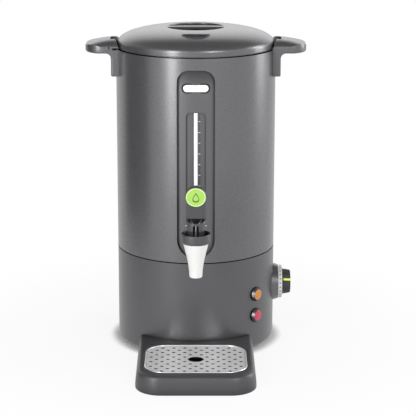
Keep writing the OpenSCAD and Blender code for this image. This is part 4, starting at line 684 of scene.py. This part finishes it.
def rounded(outline, back, front, edge, steps=5):
    # A flat outline (x, up) given thickness from back to front, with rounded edges: the outline moves
    # inwards by edge * (1 - cos t) as the depth nears each face
    ahead = unit(np.roll(outline, -1, 0) - np.roll(outline, 1, 0))
    inward = np.stack([-ahead[:, 1], ahead[:, 0]], -1)
    t = np.linspace(0, np.pi / 2, steps)
    inset = np.concatenate([edge * (1 - np.sin(t)), edge * (1 - np.cos(t))])
    depth = np.concatenate([back + edge * (1 - np.cos(t)), front - edge + edge * np.sin(t)])
    ring = outline[None] + inward[None] * inset[:, None, None]
    return np.stack([ring[..., 0], np.repeat(depth[:, None], len(outline), 1), ring[..., 1]], -1)


def discFace():
    return lever["headDepth"] - lever["thick"] / 2


def leverPaddle():
    # A flat paddle with a round head, a thicker round dish on it and two cheeks down to the pins
    half, head, r = lever["half"], lever["head"], lever["headRadius"]
    meet = math.acos(half / r)
    a = np.linspace(-meet, np.pi + meet, 60)
    outline = np.concatenate([
        filleted([(-half, lever["foot"], 2.5), (half, lever["foot"], 2.5), (half, head - 10, 0),
                  (-half, head - 10, 0)], 6)[:12],
        np.stack([r * np.cos(a), head + r * np.sin(a)], -1)])
    plate = rounded(outline, -lever["thick"] / 2, lever["thick"] / 2, 1.4)
    a = np.linspace(0, 2 * np.pi, 72, endpoint=False)
    circle = np.stack([r * np.cos(a), head + r * np.sin(a)], -1)
    dish = rounded(circle, -lever["thick"] / 2 + 0.02, discFace(), 0.8)
    sheets = [(leant(plate), True, True), (leant(dish), True, True)]
    # Outline of a cheek (towards the front, up), in radii of its hub
    cheek = np.array([(-1, 0), (-0.7, -0.7), (0, -1), (0.7, -0.7), (1, 0), (0.7, 1.25), (0.2, 2),
                      (-0.12, 2.46), (-0.42, 2.96), (-0.25, 3.75), (0, 4.8), (-1.4, 4.8),
                      (-1.6, 2.9)]) * lever["hub"]
    for side in (1, -1):
        x = side * np.array([lever["cheekIn"], lever["cheekIn"] + lever["cheekThick"]])
        sheets.append((leant(slab(cheek, x, "x")), True, True))
    return makeMesh("tapLever", sheets, 35)


def leverTails():
    # Short upright tails behind the pin, under the spindle's cross head: an outline (forward, up) and
    # its thickness across
    sheets = []
    hub, reach = lever["hub"], lever["tailReach"]
    ahead = hub * 0.8
    outline = filleted([(-reach, -hub, 0.6), (ahead, -hub, 1.2), (ahead, 0, 1.0), (-reach, 0, 0.3)], 5)
    for side in (1, -1):
        x = side * np.array([lever["tailIn"], lever["tailIn"] + lever["tailThick"]])
        sheets.append((slab(outline + [lever["forward"], lever["pin"]], x, "x"), True, True))
    return makeMesh("leverTails", sheets)


def discTurned(name, profile):
    # Rows (radius, towards the front) turned about the disc's own axis
    grid = revolved(profile, 96, "forward")
    grid[..., 2] += lever["head"]
    return makeMesh(name, [(leant(grid), True, False)], 50)


def leverDisc():
    # A shallow dish with a raised rim, which is a quarter circle of radius rim
    face, r, rim = discFace(), lever["disc"], lever["rim"]
    t = np.linspace(0, np.pi / 2, 5)
    return discTurned("leverDisc", np.concatenate([
        [(0.01, face - 0.6), (r, face - 0.6), (r, face + 0.2)],
        np.stack([r - rim + rim * np.cos(t), face + 0.2 + rim * np.sin(t)], -1),
        smoothThrough([(r - 1.2, face + 1.0), (r - 2.1, face + 0.65), (r * 0.5, face + 0.7),
                       (0.01, face + 0.75)], 14)]))


def discRimHighlight():
    # A half-round edge on the disc, painted pale as a highlight
    t = np.linspace(0, 2 * np.pi, 13)
    return discTurned("discRimHighlight", np.stack([lever["disc"] - 0.75 + lever["rim"] * np.cos(t),
                                           discFace() + 0.5 + 0.75 * np.sin(t)], -1))


def discDrop():
    # Outline of a drop, drawn on the disc: x = wide sin(a) sin(a / 2)^1.4, up = tall cos(a)
    a = np.linspace(0, 2 * np.pi, 72, endpoint=False) + 0.001
    low, high, stroke = -0.2, lever["dropRise"], lever["dropStroke"]
    rings = []
    for inset, rise in [(0, low), (0, high), (stroke, high), (stroke, low), (0, low)]:
        x = (lever["dropWide"] - inset) * np.sin(a) * np.abs(np.sin(a / 2))**1.4
        up = (lever["dropTall"] - inset * 1.3) * np.cos(a) - 0.1 * inset
        rings.append(np.stack([x, np.full(len(a), discFace() + 0.7 + rise), up + lever["head"]], -1))
    return makeMesh("discDrop", [(leant(np.stack(rings)), True, False)])


dress(leverPaddle(), "lever_body", slateAbs, ["tap_lever"])
dress(leverTails(), "lever_body", slateAbs)
dress(leverDisc(), "lever_body", limeAcetal, ["tap_disc"])
dress(discRimHighlight(), "lever_body", rimHighlightLime)
dress(discDrop(), "lever_body", olivePrint)
print("lever made")


tray = {"half": 83, "front": 268, "corner": 36, "rear": 115.6, "height": 26, "ledgeZ": 22.8, "floorZ": 5,
        "tongueHalf": 35, "tongueFrom": 90, "tongueTo": 119, "tongueThick": 1.8}
grille = {"forward": 188, "half": 71, "deep": 59, "corner": 30, "top": 24, "sheet": 0.45, "seat": 22.85,
          "bead": 1.1, "beadLow": 1.05, "beadGrowth": 0.7, "pitchX": 15.6, "pitchY": 9.5, "hole": 2.6,
          "finger": 11, "edge": 6, "clear": 4}


def trayOutline(inset, rearInset=0.0):
    # Round the tray from the rear right corner: straight side, front corners, side, then back along the
    # arc that fits the urn
    half, front, corner = tray["half"] - inset, tray["front"] - inset, tray["corner"] - inset
    rear = tray["rear"] + rearInset
    start = math.sqrt(rear**2 - half**2)
    s = np.linspace(0, 1, 24)[:-1]
    a = np.linspace(0, np.pi / 2, 18)[:-1]
    side = np.stack([np.full(len(s), half), start + (front - corner - start) * s], -1)
    turn = np.stack([half - corner + corner * np.cos(a), front - corner + corner * np.sin(a)], -1)
    fore = np.stack([(half - corner) * (1 - 2 * s), np.full(len(s), front)], -1)
    other = np.stack([corner - half - corner * np.sin(a), front - corner + corner * np.cos(a)], -1)
    back = np.stack([np.full(len(s), -half), (front - corner) + (start - front + corner) * s], -1)
    reach = math.asin(half / rear)
    b = np.linspace(-reach, reach, 60)[:-1]
    arc = np.stack([rear * np.sin(b), rear * np.cos(b)], -1)
    return np.concatenate([side, turn, fore, other, back, arc])


def grillePlan(inset):
    # Rounded rectangle about the grille's own middle, inset all round
    x, y, r = grille["half"] - inset, grille["deep"] - inset, grille["corner"] - inset
    return filleted([(x, -y, r), (x, y, r), (-x, y, r), (-x, -y, r)], 24)


def wellOutline(grow):
    # The rounded rectangle of the well, met by rays from its middle through the tray's outline points
    corners = grillePlan(-grow)
    share = np.linspace(0, 1, 16, endpoint=False)[:, None]
    dense = (corners[:, None] * (1 - share) + np.roll(corners, -1, 0)[:, None] * share).reshape(-1, 2)
    angle = np.arctan2(dense[:, 1], dense[:, 0])
    order = np.argsort(angle)
    centre = np.array([0, grille["forward"]])
    to = trayOutline(0) - centre
    want = np.arctan2(to[:, 1], to[:, 0])
    far = np.interp(want, angle[order], np.linalg.norm(dense, axis=1)[order], period=2 * np.pi)[:, None]
    return centre + far * np.stack([np.cos(want), np.sin(want)], -1)


def dripTray():
    # Rows (height, inset of the sides, inset of the arc behind): the sides lean in and roll over on top
    leaning = [(0, 2.5, 2.5), (0, 0.9, 0.8), (0.9, 0.1, 0), (4, 0, 0), (10, 0.35, 0), (15, 0.9, 0),
               (19, 1.6, 0), (21.5, 2.2, 0), (23.4, 2.9, 0.05), (24.7, 3.8, 0.3), (25.5, 5.0, 0.8),
               (25.9, 6.4, 1.5), (tray["height"], 7.8, 2.2)]
    rows = [trayOutline(inset, behind) for _, inset, behind in leaning]
    z = [height for height, _, _ in leaning]
    rim = rows[-1]
    for share in (0.35, 0.7, 0.93):
        rows.append((1 - share) * rim + share * wellOutline(1.2))
        z.append(tray["height"] - 0.25 * share)
    # Rows (growth of the well, height): rounded lip, wall, ledge under the grille, basin
    for grow, height in [(0.9, 25.65), (0.4, 25.2), (0.3, 24.4), (0.3, tray["ledgeZ"]), (-2, tray["ledgeZ"]),
                         (-2, tray["floorZ"] + 2), (-4, tray["floorZ"])]:
        rows.append(wellOutline(grow))
        z.append(height)
    return makeMesh("dripTray", [(stacked(rows, z), True, True)], 32)


def trayTongue():
    # A flat rounded tongue that reaches in under the urn
    half, near, far = tray["tongueHalf"], tray["tongueFrom"], tray["tongueTo"]
    outline = filleted([(half, near, 4), (half, far, 0.5), (-half, far, 0.5), (-half, near, 4)], 6)
    return makeMesh("trayTongue", [(slab(outline, (0, tray["tongueThick"])), True, True)])


def grilleHoles():
    # Staggered rows, kept where they clear the rounded edge and the finger hole
    places = []
    for row in range(-6, 7):
        for i in range(-6, 7):
            x, y = (i + (0 if row % 2 else 0.5)) * grille["pitchX"], row * grille["pitchY"]
            side, end = abs(x) - grille["half"] + grille["corner"], abs(y) - grille["deep"] + grille["corner"]
            past = math.hypot(side, end) if side > 0 and end > 0 else max(side, end)
            inside = past < grille["corner"] - grille["edge"]
            if inside and math.hypot(x, y) > grille["finger"] + grille["clear"]:
                places.append((x, y, grille["hole"], 20))
    return places + [(0, 0, grille["finger"], 64)]


def grilleSheet():
    # The outline given the sheet's thickness, less an upright round cutter for each hole
    top, outline = grille["top"], grillePlan(0.3) + [0, grille["forward"]]
    sheet = makeMesh("grilleSheet", [(slab(outline, (top - grille["sheet"], top)), True, True)])
    cutters = []
    for x, y, r, count in grilleHoles():
        a = np.linspace(0, 2 * np.pi, count, endpoint=False)
        ring = np.stack([x + r * np.cos(a), grille["forward"] + y + r * np.sin(a)], -1)
        cutters.append((slab(ring, (top - 3, top + 3)), True, True))
    return cutAway(sheet, [makeMesh("cutter", cutters)])


def grilleBead():
    # The rolled edge: an upright oval carried round the outline, taller towards the front
    line = grillePlan(grille["bead"] + 0.05) + [0, grille["forward"]]
    ahead = unit(np.roll(line, -1, 0) - np.roll(line, 1, 0))
    out = np.stack([ahead[:, 1], -ahead[:, 0]], -1)
    t = np.linspace(0, 2 * np.pi, 13)
    share = (line[:, 1] - line[:, 1].min()) / np.ptp(line[:, 1])
    tall = grille["beadLow"] + grille["beadGrowth"] * share
    ring = line[None] + out[None] * (grille["bead"] * np.cos(t))[:, None, None]
    z = grille["seat"] + tall[None] * (1 + np.sin(t))[:, None]
    return makeMesh("grilleBead", [(np.concatenate([ring, z[..., None]], -1), True, False)])


dress(dripTray(), "tray_body", trayAbs, ["drip_tray"])
dress(trayTongue(), "tray_body", trayAbs)
dress(grilleSheet(), "grille_body", brushedSteel, ["grille"])
dress(grilleBead(), "grille_body", beadSteel)
print("tray made")


dial = {"height": 80.8, "foot": 128.1, "long": 12.5, "footRadius": 19.1, "faceRadius": 16.8, "ribs": 54,
        "ribDeep": 0.35, "bore": 3.03, "boreEnd": 136.6, "barAngle": 24, "barHalf": 1.65, "barIn": 14.05,
        "barOut": 20.1, "barFrom": 130.05, "ringRadius": 24.4, "marks": 19, "markStep": 15, "firstMark": -135,
        "markHalf": 0.9, "markFrom": 124.1, "markTo": 125.7}


def ribbedKnob():
    # Cone with upright ribs: radius = cone - deep * (0.5 - 0.5 cos(ribs * a)), faded out towards both ends
    a = np.linspace(0, 2 * np.pi, dial["ribs"] * 8, endpoint=False)
    # Rows (distance from the foot, inset of the rounded ends, share of the ribs)
    rows = np.array([(0, 0.35, 0), (0.25, 0.08, 0), (0.6, 0, 0), (1.6, 0, 0), (2.1, 0, 0.6), (3.2, 0, 1),
                     (6.0, 0, 1), (9.0, 0, 1), (10.6, 0, 1), (11.3, 0.05, 0.8), (11.9, 0.3, 0.35),
                     (12.3, 0.75, 0), (dial["long"], 1.5, 0)])
    foot = dial["foot"]
    x, inset, fade = rows[:, 0] + foot, rows[:, 1], rows[:, 2]
    cone = dial["footRadius"] + (dial["faceRadius"] - dial["footRadius"]) * (x - foot) / dial["long"]
    rib = dial["ribDeep"] * (0.5 - 0.5 * np.cos(dial["ribs"] * a))
    r = (cone - inset)[:, None] - fade[:, None] * rib[None]
    # Rows (radius, distance along the axis) of the back, with the bore for the shaft, and of the dished face
    opening = np.array([(0.01, dial["boreEnd"]), (dial["bore"], dial["boreEnd"]), (dial["bore"], foot),
                        (17, foot)])
    closing = np.array([(14.6, 140.6), (13.6, 140.35), (7, 140.15), (0.01, 140.1)])
    plain = [np.repeat(rows[:, :1], len(a), 1) for rows in (opening, closing)]
    r = np.concatenate([plain[0], r, plain[1]])
    x = np.concatenate([opening[:, 1], x, closing[:, 1]])
    grid = np.stack([np.repeat(x[:, None], len(a), 1), r * np.cos(a), r * np.sin(a) + dial["height"]], -1)
    knob = makeMesh("ribbedKnob", [(grid, True, False)], 30)
    # The slot that holds the indicator bar
    c, s = math.cos(math.radians(dial["barAngle"])), math.sin(math.radians(dial["barAngle"]))
    near, far, half = dial["barIn"], dial["barOut"], dial["barHalf"]
    outline = np.array([(far, -half), (far, half), (near, half), (near, -half)]) @ np.array([[c, s], [-s, c]])
    slot = slab(outline + [0, dial["height"]], (dial["barFrom"], foot + dial["long"] + 1.4), "x")
    return cutAway(knob, [makeMesh("cutter", [(slot, True, True)])], 30)


def dialMarks():
    # Short grey dashes let into the ring's edge, markStep degrees apart: each a patch (distance along the
    # axis, angle) at two radii
    sheets = []
    ring, step = dial["ringRadius"], dial["markHalf"] / dial["ringRadius"]
    x = np.array([dial["markFrom"], dial["markFrom"], dial["markTo"], dial["markTo"]])
    for k in range(dial["marks"]):
        middle = math.radians(dial["barAngle"] + dial["firstMark"] + k * dial["markStep"])
        a = middle + np.array([-step, step, step, -step])
        grid = np.stack([np.stack([x, r * np.cos(a), r * np.sin(a) + dial["height"]], -1)
                         for r in (ring - 0.3, ring + 0.05)])
        sheets.append((grid, True, True))
    return makeMesh("dialMarks", sheets)


dress(ribbedKnob(), "knob_body", knobAbs, ["knob"])
dress(dialMarks(), "urn_body", slateAbs)
print("knob made")


front = {"badgeHalf": 18.5, "badgeHigh": 5.7, "badgeZ": 390.9, "badgeGap": 0.7, "panel": 109, "groove": 105.2,
         "markX": 3.2, "markLong": 3.0, "markHalf": 0.45, "markTop": 343.8, "markPitch": 15.3, "marks": 8,
         "stripFrom": 2.8, "stripTo": 7.0}


def wrapped(x, z, radius):
    # Flat drawing (x, z) laid on an upright cylinder of that radius: forward = sqrt(radius^2 - x^2)
    return np.stack([x, np.sqrt(radius**2 - x**2), z], -1)


def pill(half, high, radius, rows):
    # A pill-shaped outline for each row (inset, height above the panel), laid on the panel's cylinder
    grids = []
    for inset, rise in rows:
        r = high - inset
        line = filletedBox(inset - half, half - inset, -r, r, (r - 0.01, r - 0.01), 12)
        grids.append(wrapped(line[:, 0], line[:, 1] + front["badgeZ"], radius + rise))
    return np.stack(grids)


def badge():
    # A plain pill with a rounded edge, just within the dark band round it
    gap = front["badgeGap"]
    plate = pill(front["badgeHalf"] - gap, front["badgeHigh"] - gap, front["panel"],
                 [(0, 0.02), (0, 0.45), (0.15, 0.65), (0.4, 0.75), (2.0, 0.8), (4.0, 0.8), (4.9, 0.8)])
    return makeMesh("badge", [(plate, True, True)], 50)


def badgeShadowBand():
    # A low rounded dark band round the badge: a painted shadow, in place of the shaded gap round it
    rows = [(0.9, 0.0), (0.9, 0.5), (0.4, 0.62), (-0.5, 0.6), (-1.1, 0.4), (-1.3, 0.0), (0.9, 0.0)]
    return makeMesh("badgeShadowBand", [(pill(front["badgeHalf"], front["badgeHigh"], front["panel"], rows),
                                    True, False)], 50)


def raised(left, right, low, high, fillet, steps, rises):
    # A rounded rectangle laid on the groove's cylinder, between two heights above it
    line = filletedBox(left, right, low, high, (fillet, fillet), steps)
    return np.stack([wrapped(line[:, 0], line[:, 1], front["groove"] + rise) for rise in rises]), True, True


def scaleMarks():
    # Level marks, markPitch apart from the top downwards
    left, half = front["markX"], front["markHalf"]
    right = left + front["markLong"]
    heights = [front["markTop"] - k * front["markPitch"] for k in range(front["marks"])]
    return makeMesh("scaleMarks", [raised(left, right, z - half, z + half, 0.2, 4, (0.3, 0.8))
                                   for z in heights])


def scaleStrip():
    # The strip under the marks, which runs past the first and the last by a mark's length
    low = front["markTop"] - (front["marks"] - 1) * front["markPitch"] - front["markLong"]
    return makeMesh("scaleStrip", [raised(front["stripFrom"], front["stripTo"], low,
                                          front["markTop"] + front["markLong"], 0.8, 5, (0.02, 0.4))])


dress(badge(), "urn_body", enamelPlate, ["badge_plate"])
dress(badgeShadowBand(), "urn_body", darkAbs)
dress(scaleStrip(), "urn_body", linerAbs, ["level_scale"])
dress(scaleMarks(), "urn_body", whiteAcetal)
print("badge and scale made")


studio = {"worldLight": 0.38, "overhead": 0.15, "overheadFrom": 0.3, "overheadTo": 0.75, "floorHalf": 6,
          "floorPaint": 0.8, "shadowReach": 0.016, "nearShare": 0.88, "whiteTo": 0.4}
# name: (place, aim, size across and along, power), in the frame's metres and watts
lights = {
    "left bank": ((-1.0, -1.45, 0.7), (0, 0.05, 0.25), (0.35, 1.4), 19),
    "right bank": ((2.1, 0.6, 0.8), (0, 0.05, 0.25), (0.7, 1.5), 24),
    "back bank": ((0, 2.6, 1.5), (0, 0.05, 0.4), (3.6, 1.6), 14),
    "front wash": ((1.5, -3.1, 1.6), (0, 0, 0.2), (1.2, 1.2), 42),
}
card = {"place": (-0.75, 0.1), "turn": 95, "size": (0.7, 0.8)}
view = {"distance": 2.3, "height": 0.774, "pitch": 14.17, "lens": 138.92, "sensor": 36, "shift": 0.0292}


def straightRays(tree):
    # 1 for the camera's own rays and those through glass, 0 for all others
    rays = addNode(tree, "ShaderNodeLightPath").outputs
    return addNode(tree, "ShaderNodeMath", {0: rays["Is Camera Ray"], 1: rays["Is Transmission Ray"]},
                   operation="MAXIMUM").outputs[0]


def plainRays(tree, share=1.0):
    # How much of the plain background a ray sees: share for straight rays, all of it for mirrored ones
    glossy = addNode(tree, "ShaderNodeLightPath").outputs["Is Glossy Ray"]
    straight = addNode(tree, "ShaderNodeMath", {0: straightRays(tree), 1: share},
                       operation="MULTIPLY").outputs[0]
    return addNode(tree, "ShaderNodeMath", {0: straight, 1: glossy}, operation="MAXIMUM").outputs[0]


def flatMesh(name, corners, material):
    mesh = bpy.data.meshes.new(name)
    mesh.from_pydata(corners, [], [(0, 1, 2, 3)])
    mesh.materials.append(material)
    return addObject(name, mesh)


def floorMaterial():
    # Pale paint that keeps the shadow under and close round the urn and turns into plain white away
    # from it. away = distance from the urn's axis - body radius
    material = bpy.data.materials.new("pale studio floor")
    tree = clearTree(material)
    place = addNode(tree, "ShaderNodeTexCoord").outputs["Object"]
    fromAxis = addNode(tree, "ShaderNodeVectorMath", {0: place, 1: (0, axisY, 0)}, operation="DISTANCE")
    away = addNode(tree, "ShaderNodeMath", {0: fromAxis.outputs["Value"], 1: bodyRadius},
                   operation="SUBTRACT").outputs[0]
    # Two shares of plain white: one is full at the shadow's edge, the other further out
    near, far = (addNode(tree, "ShaderNodeMapRange",
                         {"Value": away, "From Min": 0.0, "From Max": reach, "To Min": 0.0, "To Max": share},
                         interpolation_type="SMOOTHSTEP").outputs["Result"]
                 for reach, share in ((studio["shadowReach"], studio["nearShare"]),
                                      (studio["whiteTo"], 1 - studio["nearShare"])))
    both = addNode(tree, "ShaderNodeMath", {0: near, 1: far}, operation="ADD").outputs[0]
    paint = addNode(tree, "ShaderNodeBsdfDiffuse", {"Color": (*[studio["floorPaint"]] * 3, 1)})
    glow = addNode(tree, "ShaderNodeEmission", {"Color": white, "Strength": 1.0})
    mix = addNode(tree, "ShaderNodeMixShader",
                  {0: plainRays(tree, both), 1: paint.outputs[0], 2: glow.outputs[0]})
    addNode(tree, "ShaderNodeOutputMaterial", {"Surface": mix.outputs[0]})
    return material


def makeFloor():
    half = studio["floorHalf"]
    flatMesh("floor", [(-half, -half, 0), (half, -half, 0), (half, half, 0), (-half, half, 0)],
                      floorMaterial())


def makeWorld():
    # White all round for the camera and in reflections, but dim overhead in them, as under a studio's
    # dark ceiling
    world = bpy.data.worlds.new("studio")
    bpy.context.scene.world = world
    tree = clearTree(world)
    way = addNode(tree, "ShaderNodeTexCoord").outputs["Generated"]
    rise = addNode(tree, "ShaderNodeSeparateXYZ", {0: way}).outputs["Z"]
    dimmed = addNode(tree, "ShaderNodeMapRange",
                     {"Value": rise, "From Min": studio["overheadFrom"], "From Max": studio["overheadTo"],
                      "To Min": 1.0, "To Max": studio["overhead"]},
                     interpolation_type="SMOOTHSTEP").outputs["Result"]
    strength = addNode(tree, "ShaderNodeMath", {0: dimmed, 1: straightRays(tree)},
                       operation="MAXIMUM").outputs[0]
    lit = addNode(tree, "ShaderNodeBackground", {"Color": white, "Strength": studio["worldLight"]})
    plain = addNode(tree, "ShaderNodeBackground", {"Color": white, "Strength": strength})
    mix = addNode(tree, "ShaderNodeMixShader", {0: plainRays(tree), 1: lit.outputs[0], 2: plain.outputs[0]})
    addNode(tree, "ShaderNodeOutputWorld", {"Surface": mix.outputs[0]})


def areaLight(name, place, aim, size, power):
    data = bpy.data.lights.new(name, "AREA")
    data.shape = "RECTANGLE"
    data.size, data.size_y = size
    data.energy = power
    light = addObject(name, data)
    light.location = place
    light.rotation_euler = (Vector(aim) - Vector(place)).to_track_quat("-Z", "Y").to_euler()


def darkCard():
    # A black card on edge, out of sight, that the urn's side mirrors as a dark band
    wide, tall = card["size"]
    x, y = (f(math.radians(card["turn"])) * wide / 2 for f in (math.cos, math.sin))
    atX, atY = card["place"]
    screen = flatMesh("left card", [(atX - x, atY - y, 0), (atX + x, atY + y, 0), (atX + x, atY + y, tall),
                                    (atX - x, atY - y, tall)], surface("black card", "#0C0C0C", 0.8))
    screen.visible_camera = screen.visible_diffuse = screen.visible_shadow = False


def makeCamera():
    data = bpy.data.cameras.new("camera")
    data.lens, data.sensor_width, data.shift_x = view["lens"], view["sensor"], view["shift"]
    camera = addObject("camera", data)
    camera.location = (0, axisY - view["distance"], view["height"])
    camera.rotation_euler = (math.radians(90 - view["pitch"]), 0, 0)
    bpy.context.scene.camera = camera


makeFloor()
makeWorld()
for name, values in lights.items():
    areaLight(name, *values)
darkCard()
makeCamera()
bpy.context.scene.view_settings.view_transform = "Standard"
print("studio made")
